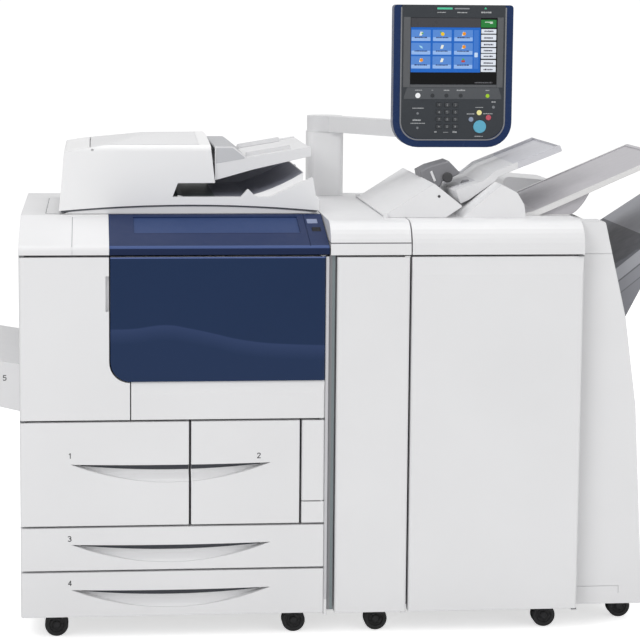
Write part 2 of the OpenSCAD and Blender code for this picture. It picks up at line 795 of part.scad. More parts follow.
module print_unit() {
  unit_x = [wall_x0 + sheet_t + unit_gap, wall_x1 - sheet_t - unit_gap];
  unit_z = [shelf_door_z + sheet_t / 2 + seat_gap, door_top - unit_gap];
  core_z = [drum_z - bay_half, drum_z + bay_half];
  color(mid_grey) difference() {
    union() {
      block(unit_x, [core_y, core_y + unit_d], unit_z);
      // Turning grip of the fuser and rim of the toner bay
      rod_y([core_y - grip_h, core_y + over], fuser_x, unit_z[0] + 2 * grip_r + edge_r, grip_r);
      rod_y([core_y - grip_h, core_y + over], bottle_x, bottle_z, bottle_r + grip_h);
      rod_y([core_y - grip_h, core_y + over], drum_x, drum_z, drum_r + grip_h);
    }
    // Hollow below and above the bays, open at the back
    for (z = [[unit_z[0] + grip_h, core_z[0]], [core_z[1], unit_z[1] - grip_h]])
      block([unit_x[0] + grip_h, unit_x[1] - grip_h], [core_y + 2 * grip_h, core_y + unit_d + over], z);
    rod_y([core_y - grip_h - over, bottle_y[1] + seat_gap], bottle_x, bottle_z, bottle_r + seat_gap);
    rod_y([bottle_y[1], bottle_y[1] + 2 * shaft_len], bottle_x, bottle_z, shaft_r + pin_fit);
    rod_y([core_y - grip_h - over, drum_y[1] + seat_gap], drum_x, drum_z, drum_r + bay_gap);
    rod_y([drum_y[1], drum_y[1] + 2 * shaft_len], drum_x, drum_z, shaft_r + pin_fit);
    for (s = [-1, 1]) {
      bay(fuser_x, fuser_z + s * roller_x, fuser_r + bay_gap, drum_y[1] + seat_gap);
      rod_y([drum_y[1], drum_y[1] + 2 * shaft_len], fuser_x, fuser_z + s * roller_x, shaft_r + pin_fit);
    }
  }
}

// Roller with its rear shaft
module roller(x, z, r, y) {
  rod_y(y, x, z, r);
  rod_y([y[1] - over, y[1] + shaft_len], x, z, shaft_r);
}

module imaging_drum() {
  color([0.2, 0.5, 0.45]) difference() {
    roller(drum_x, drum_z, drum_r, drum_y);
    for (a = [0, 120, 240]) translate([drum_x, 0, drum_z]) rotate([0, a, 0])
      rod_y([drum_y[0] - over, drum_y[0] + grip_h], drum_r / 2, 0, shaft_r);
  }
}

module heat_roller() { color([0.5, 0.25, 0.15]) roller(fuser_x, fuser_z + roller_x, fuser_r, drum_y); }
module pressure_roller() { color(dark_grey) roller(fuser_x, fuser_z - roller_x, fuser_r, drum_y); }

// Toner bottle with a ribbed grip at its front end
module toner_bottle() {
  color(dark_grey) difference() {
    roller(bottle_x, bottle_z, bottle_r, bottle_y);
    for (s = [-1, 1]) block([bottle_x - bottle_r, bottle_x + bottle_r],
      [bottle_y[0] - over, bottle_y[0] + grip_h],
      s > 0 ? [bottle_z + grip_h, bottle_z + bottle_r] : [bottle_z - bottle_r, bottle_z - grip_h]);
  }
}

// Narrow flap beside the second drawer
module transport_flap() {
  top = row_1_z + upper_drawer_h;
  color(shell_white) {
    difference() {
      face([flap_x0, face_x1], [flap_z0, top], hinge_out);
      leaf_hollow([flap_x0, face_x1 - 2 * hinge_out], [flap_z0, top]);
    }
    hinge_pin(front_axis_x, [top - over, shelf_door_z - seat_gap / 2]);
    hinge_pin(front_axis_x, [flap_z0 - row_gap + seat_gap, flap_z0 + over]);
  }
}

// Hollow back of a moulded door
module leaf_hollow(x, z) {
  block([x[0] + 2 * cover_t, x[1] - 2 * cover_t], [front_t / 2, front_t + over],
    [z[0] + 2 * cover_t, z[1] - 2 * cover_t]);
}

foot_top = door_z + door_foot_h;

// Outline of the front door, seen from the front
module front_outline(inset) {
  polygon(soft([[door_foot_x + inset, door_z], [face_x1, door_z], [face_x1, door_top],
    [door_panel_x + inset, door_top], [door_panel_x + inset, foot_top, door_panel_r],
    [door_foot_x + inset, foot_top]]));
}

module blue_outline() {
  polygon(soft([[face_x1, foot_top], [face_x1, door_top], [door_panel_x, door_top],
    [door_panel_x, foot_top, door_panel_r]]));
}

module front_door_base() {
  color(shell_white) {
    difference() {
      intersection() {
        prism_y([-over, front_t]) front_outline(0);
        face([door_panel_x, face_x1], [door_z, door_top], hinge_out);
      }
      prism_y([-over, door_panel_t + seat_gap]) blue_outline();
      // Finger pull that slopes back under the blue panel
      prism_x([door_foot_x - over, face_x1 + over]) polygon([[-over, foot_top - scoop_h * pull_share],
        [0, foot_top - scoop_h * pull_share], [door_panel_t, foot_top], [-over, foot_top]]);
      leaf_hollow([door_foot_x + door_panel_r, face_x1 - 2 * hinge_out], [door_z, door_top]);
      // Joint between the foot and the backing of the blue panel
      block([door_panel_x - over, face_x1 + over], [-over, front_t + over],
        [foot_top, foot_top + seat_gap]);
    }
    hinge_pin(front_axis_x, [door_top - over, shelf_top_z]);
    hinge_pin(front_axis_x, [shelf_door_z + seat_gap / 2, door_z + over]);
  }
}

module front_door_panel() {
  color(door_blue) intersection() {
    prism_y([0, door_panel_t]) blue_outline();
    face([door_panel_x - over, face_x1], [door_z, door_top], hinge_out);
  }
}

module toner_door() {
  color(shell_white) {
    difference() {
      intersection() {
        prism_y([-over, front_t]) polygon(soft([[face_x0, door_z], [door_foot_x - row_gap / 2, door_z],
          [door_foot_x - row_gap / 2, foot_top - row_gap / 2],
          [door_panel_x - row_gap / 2, foot_top - row_gap / 2, door_panel_r],
          [door_panel_x - row_gap / 2, door_top], [face_x0, door_top]]));
        prism_z([door_z, door_top]) polygon(soft([[face_x0, front_t], [face_x0, 0, hinge_out],
          [door_foot_x, 0], [door_foot_x, front_t]]));
      }
      leaf_hollow([face_x0 + 2 * hinge_out, door_panel_x], [door_z, door_top]);
      // Finger notch beside the blue panel
      block([door_panel_x - notch_w, door_panel_x], [-over, notch_deep], notch_z);
    }
    hinge_pin(toner_axis_x, [door_top - over, shelf_top_z]);
    hinge_pin(toner_axis_x, [shelf_door_z, door_z + over]);
  }
}

// Bypass tray: feed box at the side cover and rising tray
module bypass_tray() {
  y = [bypass_y, bypass_y + bypass_d];
  top = bypass_z + bypass_h;
  color(shell_white) difference() {
    union() {
      prism_y(y) polygon(soft([[-seat_gap, bypass_z], [-seat_gap, top],
        [-bypass_reach, top + bypass_rise, edge_r],
        [-bypass_reach, top + bypass_rise - bypass_lip, edge_r],
        [-bypass_box, bypass_z + bypass_h * bypass_share, slope_r],
          [-bypass_box, bypass_z + slope_r, edge_r]]));
      block([-seat_gap - over, cover_t], [bypass_y + 3 * edge_r, y[1] - 3 * edge_r],
        [bypass_z + bypass_h / 3 + edge_r, top - 2 * edge_r]);
    }
    // Sunk surface that the paper lies on
    prism_y([y[0] + tray_rim, y[1] - tray_rim]) polygon([[-bypass_box / 4, top + over],
      [-bypass_box / 4, top - edge_r], [-bypass_reach + tray_rim, top + bypass_rise - tray_rim - edge_r],
      [-bypass_reach + tray_rim, top + bypass_rise + over]]);
  }
}

// Point of the feeder's outline at a share of its width and height
function feeder_spot(s, r = 0) = [feeder_x + feeder_w * s[0], feeder_z + feeder_h * s[1], r];

// Crowned body of the document feeder, seen from the front
module feeder_outline() {
  x = [feeder_x, feeder_x1];
  z = [feeder_z, feeder_z + slab_h, feeder_z + feeder_h];
  polygon(concat(bow([x[1], z[0]], [x[0], z[0]], -feeder_arch), soft([[x[0], z[0] + edge_r],
    feeder_spot(crown_share[0], 2 * edge_r), feeder_spot(crown_share[1]),
    [stack_x - feeder_lean, z[2], 2 * edge_r], [stack_x, z[0] + slot_h],
    [slot_x + feeder_lean, z[0] + slot_h, edge_r], [slot_x, z[1]],
    [feeder_spot(ridge_share[0])[0], z[1]], feeder_spot(ridge_share[1], edge_r),
    [feeder_spot(ridge_share[2])[0], z[1]], [feeder_spot(ridge_share[3])[0], z[1]],
    feeder_spot(ridge_share[4], edge_r), [feeder_spot(ridge_share[5])[0], z[1]], [x[1], z[1] - edge_r]])));
}

// Curved tray that the originals come out on
module feeder_stack() {
  slab = feeder_z + slab_h;
  left = [slot_x + feeder_lean, slab + edge_r];
  right = feeder_spot(stack_share);
  prism_y(tray_y) polygon(concat(bow(left, [right[0], right[1]], slab_h),
    [[right[0], slab - edge_r], [left[0], slab - edge_r]]));
}

module feeder_body() {
  y = [feeder_y, feeder_y1];
  color(shell_white) difference() {
    union() {
      intersection() {
        prism_y(y) feeder_outline();
        prism_x([feeder_x - over, feeder_x1 + over]) polygon(soft([[y[0], feeder_z - over],
          [y[0] + edge_r, feeder_z + feeder_h * dome_share[0], slope_r],
          [along(y[0], y[1], dome_share[1]), feeder_z + feeder_h],
          [y[1], feeder_z + feeder_h * dome_share[2], slope_r], [y[1], feeder_z - over]]));
        // Open above the curved tray, behind the front wall
        difference() {
          block([feeder_x, feeder_x1], y, [feeder_z - over, feeder_z + feeder_h + over]);
          block([stack_x - over, feeder_x1 + over], tray_y,
            [feeder_z + slab_h, feeder_z + feeder_h + 2 * over]);
          block([slot_x + feeder_lean, stack_x], tray_y, [feeder_z + slab_h, feeder_z + slot_h]);
        }
      }
      feeder_stack();
      // Pad that presses the original on the glass
      block([glass_x[0] + feeder_x, glass_x[1] - edge_r], [glass_y[0], glass_y[1]],
        [deck_z + seat_gap, feeder_z + feeder_arch]);
      for (s = feeder_lug_share) feeder_lug(along(feeder_x, feeder_x1, s));
    }
    // Bed under the top cover, with the feed rollers' trough
    block([lid_x[0] + lid_inset - 2 * lid_pin_r - seat_gap, lid_x[1] + seat_gap],
      [y[0] + lid_inset - seat_gap, y[1] - lid_inset + seat_gap],
      [feeder_z + feeder_h - lid_t - seat_gap, feeder_z + feeder_h + over]);
    block([lid_x[0] + lid_inset, slot_x - lid_inset], [y[0] + 2 * lid_inset, y[1] - 2 * lid_inset],
      [feeder_z + slab_h, feeder_z + feeder_h - lid_t]);
    rod_y([y[0] + 4 * lid_inset, y[1] - 4 * lid_inset], lid_x[1] - 3 * lid_inset,
      feeder_z + feeder_h - lid_t,
      1.5 * lid_inset);
    for (s = feeder_lug_share) rod_x([along(feeder_x, feeder_x1, s) - over, along(feeder_x, feeder_x1, s)
      + feeder_lug_w + over], feeder_axis_y, feeder_axis_z, feeder_pin_r + pin_fit);
    rod_y([y[0] + edge_r, y[1] - edge_r], lid_x[0] + lid_inset, lid_axis_z, lid_pin_r + pin_fit);
  }
}

lid_axis_z = feeder_z + feeder_h - lid_t + lid_pin_r * 1.5;

module feeder_lug(x) {
  block([x, x + feeder_lug_w], [feeder_y1 - over, feeder_axis_y],
    [feeder_axis_z - feeder_lug_r, feeder_axis_z + feeder_lug_r]);
  rod_x([x, x + feeder_lug_w], feeder_axis_y, feeder_axis_z, feeder_lug_r);
}

// Top cover over the feed rollers, hinged at its left end
module feeder_top_cover() {
  y = [feeder_y + lid_inset, feeder_y1 - lid_inset];
  z = [feeder_z + feeder_h - lid_t, feeder_z + feeder_h];
  nose = lid_axis_z - z[0];
  color(shell_white) {
    intersection() {
      prism_y(y) polygon(soft([[lid_x[0] + lid_inset - nose, z[0], nose], [lid_x[0] + lid_inset - nose,
        z[0] + feeder_h * lid_share[0], edge_r], feeder_spot(crown_share[1]),
        [lid_x[1], z[1] - edge_r / 2], [lid_x[1], z[0]]]));
      prism_x([lid_x[0] - over, lid_x[1] + over]) polygon([[y[0], z[0] - over],
        [y[0], feeder_z + feeder_h * lid_share[1]], [along(feeder_y, feeder_y1, dome_share[1]), z[1]],
        [y[1], feeder_z + feeder_h * lid_share[2]], [y[1], z[0] - over]]);
    }
    rod_y([y[0] - lid_inset / 2, y[1] + lid_inset / 2], lid_x[0] + lid_inset, lid_axis_z, lid_pin_r);
  }
}

tray_slope = atan2(tray_end_z - tray_root_z, tray_end_x - stack_x);

function tray_rim_z(x) = tray_root_z + (x - stack_x) * tan(tray_slope);

// Sloping tray for the originals, with the hood of its rollers
module document_tray() {
  hood_top = feeder_z + feeder_h * hood_share;
  hood_flat_x = stack_x + hood_flat_share * hood_w;
  x = [stack_x + seat_gap, stack_x + hood_w];
  color(shell_white) difference() {
    prism_y(tray_y) polygon(soft([[x[0], tray_root_z - edge_r], [x[0], hood_top, edge_r],
      [hood_flat_x, hood_top, slope_r], [x[1], tray_rim_z(x[1]) + edge_r, edge_r],
      [x[1], tray_rim_z(x[1]) - edge_r]]));
    prism_y([tray_y[0] + tray_rim, tray_y[1] - tray_rim]) polygon([
      [x[0] - over, tray_root_z - 2 * edge_r], [x[0] - over, hood_top - hood_wall],
      [hood_flat_x - hood_wall, hood_top - hood_wall], [x[1] - hood_wall, tray_rim_z(x[1])],
      [x[1] + over, tray_rim_z(x[1])], [x[1] + over, tray_rim_z(x[1]) - 2 * edge_r]]);
  }
  color(shell_white) difference() {
    prism_y(tray_y) polygon(soft([[stack_x + seat_gap, tray_root_z], [tray_end_x, tray_end_z, edge_r],
      [tray_end_x, tray_end_z - tray_end_h, edge_r], feeder_spot(root_share[1], slope_r),
      [stack_x + seat_gap, feeder_spot(root_share[0])[1]]]));
    // Paper bed between the rims
    let (x = [stack_x - over, tray_end_x + over])
      prism_y([tray_y[0] + tray_rim, tray_y[1] - tray_rim]) polygon([
        [x[0], tray_rim_z(x[0]) + over], [x[0], tray_rim_z(x[0]) - edge_r],
        [x[1], tray_rim_z(x[1]) - edge_r], [x[1], tray_rim_z(x[1]) + over]]);
  }
}

// Paper guide that stands on the bed of the document tray
module paper_guide(y, foot) {
  lift = function (x) tray_root_z - edge_r + seat_gap + (x - stack_x) * tan(tray_slope);
  color(mid_grey) {
    prism_y([y, y + guide_t]) polygon(soft([[guide_x[0], lift(guide_x[0])], [guide_x[0], lift(guide_x[0])
      + guide_h, edge_r], [guide_x[1], lift(guide_x[1]) + guide_h, edge_r],
        [guide_x[1], lift(guide_x[1])]]));
    prism_y(foot) polygon([[guide_x[0], lift(guide_x[0])], [guide_x[0], lift(guide_x[0]) + guide_t / 2],
      [guide_x[1], lift(guide_x[1]) + guide_t / 2], [guide_x[1], lift(guide_x[1])]]);
  }
}

module front_paper_guide() {
  y = tray_y[0] + 2 * tray_rim + guide_foot;
  paper_guide(y, [y - guide_foot, y + guide_t]);
}

module rear_paper_guide() {
  y = tray_y[1] - 2 * tray_rim - guide_foot - guide_t;
  paper_guide(y, [y, y + guide_t + guide_foot]);
}

// Post of the control panel
module panel_post() {
  z = [deck_z, deck_z + post_h];
  color(shell_white) {
    prism_z(z) polygon(soft([[post_x - post_w / 2, post_y - post_d / 2, slope_r],
      [post_x + post_w / 2, post_y - post_d / 2, slope_r],
        [post_x + post_w / 2, cabinet_d - cover_t, slope_r],
      [post_x - post_w / 2, cabinet_d - cover_t, slope_r]]));
    rod_z([z[1] - over, z[1] + post_pin_h], post_x, post_y, post_pin_r);
  }
}

// Straight bar of the arm between two points, seen from above
module arm_bar(p, q, z) {
  d = unit(q - p) * arm_w / 2;
  side = [-d[1], d[0]];
  prism_z(z) polygon([p + side, q + side, q - side, p - side]);
}

module panel_arm() {
  z = [deck_z + post_h + seat_gap, deck_z + post_h + seat_gap + arm_h];
  hub = [panel_x, panel_axis_y + barrel_r + arm_w / 2];
  color(shell_white) difference() {
    union() {
      rod_z(z, post_x, post_y, post_w / 2);
      arm_bar([post_x, post_y], elbow, z);
      rod_z(z, elbow[0], elbow[1], arm_w / 2);
      arm_bar(elbow, hub, z);
      rod_z(z, hub[0], hub[1], arm_w / 2);
      // Barrel that the panel tilts on
      rod_x([panel_x - barrel_w / 2, panel_x + barrel_w / 2], panel_axis_y, panel_axis_z, barrel_r);
      block([panel_x - barrel_w / 3, panel_x + barrel_w / 3], [panel_axis_y, hub[1]],
        [panel_axis_z - barrel_r, panel_axis_z + barrel_r / 2]);
    }
    rod_z([z[0] - over, deck_z + post_h + post_pin_h + seat_gap], post_x, post_y, post_pin_r + pin_fit);
    rod_x([panel_x - barrel_w, panel_x + barrel_w], panel_axis_y, panel_axis_z, tilt_pin_r + pin_fit);
  }
}

// Outline of the panel, round at its lower corners
module panel_outline(side, foot, r, r_top) {
  polygon(soft([[panel_x - panel_w / 2 + side, panel_z + foot, r],
    [panel_x + panel_w / 2 - side, panel_z + foot, r],
    [panel_x + panel_w / 2 - side, panel_z + panel_h, r_top],
    [panel_x - panel_w / 2 + side, panel_z + panel_h, r_top]]));
}

module panel_shell() {
  ear_x = barrel_w / 2 + seat_gap;
  color(door_blue) {
    difference() {
      prism_y([panel_y, panel_y + panel_t]) panel_outline(0, 0, panel_corner_r, panel_top_r);
      prism_y([panel_y - over, panel_y + bezel_t]) panel_outline(bezel_side, bezel_foot, bezel_corner_r, 0);
      // Hollow behind the bezel
      block([panel_x - panel_w / 2 + 2.5 * bezel_side, panel_x + panel_w / 2 - 2.5 * bezel_side],
        [panel_y, panel_y + panel_t - cover_t],
        [panel_z + 1.5 * bezel_foot, panel_z + panel_h - 2 * bezel_side]);
    }
    // Ears at both ends of the arm's barrel
    for (x = [[panel_x - ear_x - ear_t, panel_x - ear_x], [panel_x + ear_x, panel_x + ear_x + ear_t]]) {
      block(x, [panel_y + panel_t - over, panel_axis_y],
        [panel_axis_z - barrel_r, panel_axis_z + barrel_r]);
      rod_x(x, panel_axis_y, panel_axis_z, barrel_r);
    }
    rod_x([panel_x - ear_x - ear_t, panel_x + ear_x + ear_t], panel_axis_y, panel_axis_z, tilt_pin_r);
  }
}

function key_centre(i, j) = [key_at[0] + i * key_pitch[0], key_at[1] + j * key_pitch[1]];

// Keys of the number pad, all alike
module key_grid(grow, y) {
  for (i = [0:key_cols - 1], j = [0:key_rows - 1])
    let (c = key_centre(i, j), w = key_size[0] / 2 + grow, h = key_size[1] / 2 + grow)
    block([c[0] - w, c[0] + w], y, [c[1] - h, c[1] + h]);
}

module panel_bezel() {
  y = [panel_y - seat_gap, panel_y + bezel_t];
  color(dark_grey) difference() {
    prism_y(y) panel_outline(bezel_side + seat_gap, bezel_foot + seat_gap, bezel_corner_r, edge_r);
    block([screen_x[0] - seat_gap, screen_x[1] + seat_gap], [y[0] - over, y[0] + screen_t + over / 2],
      [screen_z[0] - seat_gap, screen_z[1] + seat_gap]);
    key_grid(seat_gap, [y[0] - over, y[1] + over]);
    rod_y([y[0] - over, y[1] + over], start_at[0], start_at[1], start_r + seat_gap);
    rod_y([y[0] - over, y[1] + over], stop_at[0], stop_at[1], stop_r + seat_gap);
  }
}

module panel_screen() {
  color([0.35, 0.5, 0.75]) block(screen_x, [panel_y - seat_gap + over / 2,
    panel_y - seat_gap + screen_t + over / 2],
    screen_z);
}

key_y = [panel_y - seat_gap - key_proud, panel_y + bezel_t + key_proud];

module number_keys() { color(steel_grey) key_grid(0, key_y); }
module start_button() { color([0.15, 0.6, 0.7]) rod_y(key_y, start_at[0], start_at[1], start_r); }
module stop_button() { color([0.8, 0.2, 0.2]) rod_y(key_y, stop_at[0], stop_at[1], stop_r); }

// Top cover with a round front edge, hollow below
module rounded_cover(x) {
  z0 = leaf_top + row_gap;
  difference() {
    prism_x([x[0] + cover_gap, x[1] - cover_gap]) polygon(soft([[0, z0],
      [0, deck_z, top_edge_r], [cabinet_d, deck_z, edge_r], [cabinet_d, z0]]));
    block([x[0] + 2 * cover_t, x[1] - 2 * cover_t], [top_edge_r, cabinet_d - 2 * cover_t],
      [z0 - over, deck_z - 2 * cover_t]);
    block([x[0] - over, x[1] + over], [-over, seam_deep], [z0 + strip_h, z0 + strip_h + seam_w]);
  }
}

module interface_frame() {
  axis_x = column_door_x1 - hinge_out;
  color(shell_white) difference() {
    union() {
      block([column_x, column_x1], [core_y, cabinet_d], [base_z, leaf_top + row_gap - seat_gap]);
      block([column_x, column_x + dock_w], [core_y / 3, core_y + over],
        [base_z, leaf_top + row_gap - seat_gap]);
      for (z = column_tab_z) block([axis_x - tab_w / 2, axis_x + tab_w / 2], [tab_y, core_y + over], z);
      // Docking bar that meets the engine and the finisher
      block([engine_w, finisher_x], [cabinet_d / 2, cabinet_d / 2 + dock_w], [base_z, base_z + dock_w]);
      rear_web(rear_places[2]);
      caster_pad(2);
    }
    for (z = column_tab_z) pin_bore(axis_x, z);
    rod_z([base_z - over, base_z + core_y], pin_x(2), caster_places[2][1], kingpin_r + pin_fit);
    // Paper path behind the door, with its three turning grips
    difference() {
      block([column_x + 2 * dock_w, column_x1 - dock_w], [core_y - over, core_y + path_deep], path_z);
      for (s = path_share)
        rod_y([core_y, core_y + path_deep + over], (column_x + column_x1) / 2,
          along(path_z[0], path_z[1], s), grip_r);
    }
    cabinet_hollow([column_x, column_x1]);
  }
}

column_tab_z = [[leaf_z0 - plate_t - seat_gap, leaf_z0 - seat_gap],
  [leaf_top + seat_gap, leaf_top + seat_gap + tab_t]];
path_z = [leaf_z0 + 60, leaf_top - 60];
path_deep = 40;
path_share = [0.2, 0.5, 0.8];
bay_share = [0.15, 0.4, 0.65, 0.9];
stapler_share = [0.5, 0.55, 0.85];

// Hollow of a cabinet, open at its top below the top cover
module cabinet_hollow(x) {
  block([x[0] + 2 * cover_t, x[1] - 2 * cover_t], [core_y + path_deep + 2 * cover_t,
    cabinet_d - 2 * cover_t],
    [base_z + 2 * plate_t, top_z]);
}

// Pad that closes the base round a swivel pin, inside the cabinet
module caster_pad(i) {
  block([pin_x(i) - 2 * hood_r, pin_x(i) + 2 * hood_r], [core_y - over, caster_places[i][1]],
    [base_z, base_z + plate_t]);
}

module interface_top_cover() {
  head_ear_x = head_x + head_nose_r;
  color(shell_white) difference() {
    union() {
      rounded_cover([column_x, column_x1 + face_inset / 2]);
      for (y = [head_y - head_ear_t - seat_gap, head_y + head_d + seat_gap])
        block([head_ear_x - head_ear_t / 2, head_ear_x + head_ear_t / 2], [y, y + head_ear_t],
          [deck_z - over, deck_z + head_ear_t]);
    }
    rod_y([head_y - head_ear_t, head_y + head_d + head_ear_t], head_ear_x, deck_z + seat_gap + head_nose_r,
      head_pin_r + pin_fit);
  }
}

// Moulded cabinet door, hinged at its right edge
module cabinet_door(x, top_lean) {
  color(shell_white) {
    difference() {
      intersection() {
        face(x, [leaf_z0, leaf_top], hinge_out);
        prism_x([x[0] - over, x[1] + over]) polygon([[0, leaf_z0], [0, leaf_top - scoop_h],
          [top_lean, leaf_top], [front_t, leaf_top], [front_t, leaf_z0]]);
      }
      leaf_hollow([x[0], x[1] - 2 * hinge_out], [leaf_z0, leaf_top]);
    }
    hinge_pin(x[1] - hinge_out, [leaf_z0 - plate_t, leaf_z0 + over]);
    hinge_pin(x[1] - hinge_out, [leaf_top - over, leaf_top + seat_gap + tab_t]);
  }
}

module interface_door() { cabinet_door([column_door_x, column_door_x1], edge_r / 2); }
module finisher_door() { cabinet_door([finisher_door_x0, finisher_door_x1], hinge_out); }

module finisher_frame() {
  axis_x = finisher_door_x1 - hinge_out;
  x = [finisher_x, finisher_x1 - seat_gap];
  base = [finisher_x, end_x + end_foot_w - 2 * cover_t];
  color(steel_grey) difference() {
    union() {
      block(x, [core_y, cabinet_d], [base_z, leaf_top + row_gap - seat_gap]);
      block([base[0], base[1]], [end_setback + cover_t + over, cabinet_d - cover_t],
        [base_z, base_z + plate_t]);
      for (z = column_tab_z) block([axis_x - tab_w / 2, axis_x + tab_w / 2], [tab_y, core_y + over], z);
      for (i = [3, 4]) rear_web(rear_places[i]);
    }
    for (z = column_tab_z) pin_bore(axis_x, z);
    rod_z([base_z - over, base_z + core_y], pin_x(3), caster_places[3][1], kingpin_r + pin_fit);
    kingpin_bore(4);
    // Stapler bay behind the door, with its release grips
    difference() {
      block([finisher_x + 2 * dock_w, finisher_x1 - 2 * dock_w], [core_y - over, core_y + path_deep],
        path_z);
      for (s = bay_share)
        rod_y([core_y, core_y + path_deep + over], along(x[0], x[1], path_share[0]),
          along(path_z[0], path_z[1], s), grip_r);
      block([along(x[0], x[1], stapler_share[0]), along(x[0], x[1], stapler_share[2])],
        [core_y + over, core_y + path_deep + over],
        [along(path_z[0], path_z[1], stapler_share[1]), along(path_z[0], path_z[1], stapler_share[2])]);
    }
    cabinet_hollow(x);
  }
}

strip_h = 25;
cover_gap = 1;

// Hump that carries the insert tray
module hump_outline() {
  polygon(soft([[hump_x[0], deck_z - over], for (s = hump_share) [along(hump_x[0], hump_x[1], s[0]),
    deck_z + hump_h * s[1], s[2]], [hump_x[1], deck_z - over]]));
}

module finisher_top_cover() {
  color(shell_white) {
    rounded_cover([finisher_x, finisher_x1]);
    prism_y(hump_y) hump_outline();
    // Rear wall beside the top tray
    prism_y(fence_y) polygon(soft([[fence_x[0], deck_z - over], [fence_x[0], deck_z + fence_h, slope_r],
      [fence_x[1], deck_z + fence_h * fence_share, slope_r], [fence_x[1], deck_z - over]]));
  }
}

// Side view of the end cover, and of the hollow in its cheeks
module end_outline() {
  polygon(soft([[end_x, end_z], [end_x, end_top_z], [end_x + end_top_w, end_top_z, 2 * edge_r],
    for (s = end_share) [end_x + end_foot_w * s[0], along(skirt_z, end_top_z, s[1]), 4 * slope_r],
    [end_x + end_foot_w, end_z + slope_r, edge_r], [end_x + end_foot_w, end_z]]));
}

module end_hollow_outline() {
  wall = 2 * cover_t;
  polygon([[end_x + web_t, end_z - over], [end_x + web_t, end_top_z - wall],
    [end_x + end_top_w - wall, end_top_z - wall],
    for (s = end_share) [end_x + end_foot_w * s[0] - wall, along(skirt_z, end_top_z, s[1])],
    [end_x + end_foot_w - wall, end_z + slope_r], [end_x + end_foot_w - wall, end_z - over]]);
}

module finisher_end_cover() {
  web_x = [end_x, end_x + web_t];
  color(shell_white) difference() {
    union() {
      prism_y([end_setback, end_setback + cheek_d]) end_outline();
      prism_y([cheek_rear_y, cabinet_d]) end_outline();
      block(web_x, [end_setback + cheek_d - over, cheek_rear_y + over], [end_z, end_top_z]);
      // Skirt in front of the base plate
      block([end_x, end_x + end_foot_w], [end_setback, end_setback + cover_t], [skirt_z, end_z + over]);
    }
    for (y = [[end_setback, end_setback + cheek_d], [cheek_rear_y, cabinet_d]])
      prism_y([y[0] + 2 * cover_t, y[1] - 2 * cover_t]) end_hollow_outline();
    for (y = slot_y)
      block([web_x[0] - over, web_x[1] + over], [y - slot_w / 2, y + slot_w / 2], slot_z);
    // Seam at the top of the door, and the foot's access panel
    block([end_x - over, end_x + end_foot_w], [end_setback - over, end_setback + seam_deep],
      [leaf_top, leaf_top + seam_w]);
    block([end_x - over, end_x + foot_panel_w], [end_setback - over, end_setback + seam_deep],
      [end_z + foot_panel_h, end_z + foot_panel_h + seam_w]);
    block([end_x + foot_panel_w, end_x + foot_panel_w + seam_w],
      [end_setback - over, end_setback + seam_deep],
      [end_z + slope_r, end_z + foot_panel_h + seam_w]);
  }
}

foot_panel_w = 104;
foot_panel_h = 30;

// Tray on top of the finisher, with a gusset at each side
module top_output_tray() {
  x = output_x;
  knee = x[0] + output_foot;
  color(shell_white) {
    difference() {
      prism_y(output_y) polygon(soft([[x[0], deck_z], [x[0], deck_z + output_t / 2, edge_r / 2],
        [knee, deck_z + output_t, slope_r], [x[1], deck_z + output_t + output_rise, edge_r],
        [x[1] + output_t / 3, deck_z + output_rise, edge_r], [knee + output_t, deck_z, slope_r]]));
      // Paper channel between the rims
      prism_y([output_y[0] + tray_rim, output_y[1] - tray_rim]) polygon([
        [knee, deck_z + output_t + over], [knee + output_t, deck_z + output_t + edge_r / 2],
        [x[1] - tray_rim, deck_z + output_rise + edge_r],
          [x[1] - tray_rim, deck_z + output_rise + 2 * output_t],
        [knee + output_t, deck_z + output_rise]]);
    }
    for (y = [output_y[0] + gusset_t, output_y[1] - 2 * gusset_t])
      prism_y([y, y + gusset_t]) polygon(gusset_points(knee));
  }
}

function gusset_points(knee) = let (foot = finisher_x1 - cover_t, rise = output_rise / (output_x[1] - knee))
  concat([[knee, deck_z], [foot, deck_z]],
    bow([foot, deck_z], [foot + gusset_reach, deck_z + (foot + gusset_reach - knee) * rise], gusset_t),
    [[knee, deck_z + edge_r]]);
gusset_reach = 52;

// Feed head, a low ridge over the joint of the two cabinets
module insert_head() {
  z = [deck_z + seat_gap, deck_z + head_h];
  axis_z = z[0] + head_nose_r;
  color(shell_white) {
    prism_y([head_y, head_y + head_d]) polygon(soft([
      [head_x - head_nose_r, z[0], edge_r],
      [head_x + head_w * head_peak_share, z[1], edge_r],
      [head_x + head_w, z[0] + head_h * head_tail_share, edge_r],
      [head_x + head_w * head_foot_share, z[0], edge_r]]));
    rod_y([head_y - head_ear_t / 2, head_y + head_d + head_ear_t / 2], head_x + head_nose_r, axis_z,
      head_pin_r);
  }
}

insert_z = deck_z + hump_h + seat_gap - insert_share[2][1] * insert_h;

// Point of the insert tray's side view at a share of its length and height
function insert_spot(s, drop = 0) =
  [along(insert_x[0], insert_x[1], s[0]), insert_z + insert_h * s[1] - drop, len(s) > 2 ? s[2] : edge_r];

// Tray that the inserted sheets lie on, resting on the hump
module insert_tray() {
  color(shell_white) difference() {
    prism_y(insert_y) polygon(soft([for (s = insert_share) insert_spot(s), insert_spot(insert_tip),
      insert_spot(insert_back), insert_spot(insert_step), for (s = insert_top_share) insert_spot(s)]));
    // Sunk bed between the side walls
    prism_y([insert_y[0] + tray_rim, insert_y[1] - tray_rim]) polygon([
      for (s = [insert_back, insert_step, insert_top_share[0]]) flat(insert_spot(s, insert_rim)),
      [insert_x[0] - over, insert_z + insert_h * insert_top_share[1][1] - insert_rim],
      [insert_x[0] - over, insert_z + insert_h], flat(insert_spot(insert_back, -over))]);
  }
}

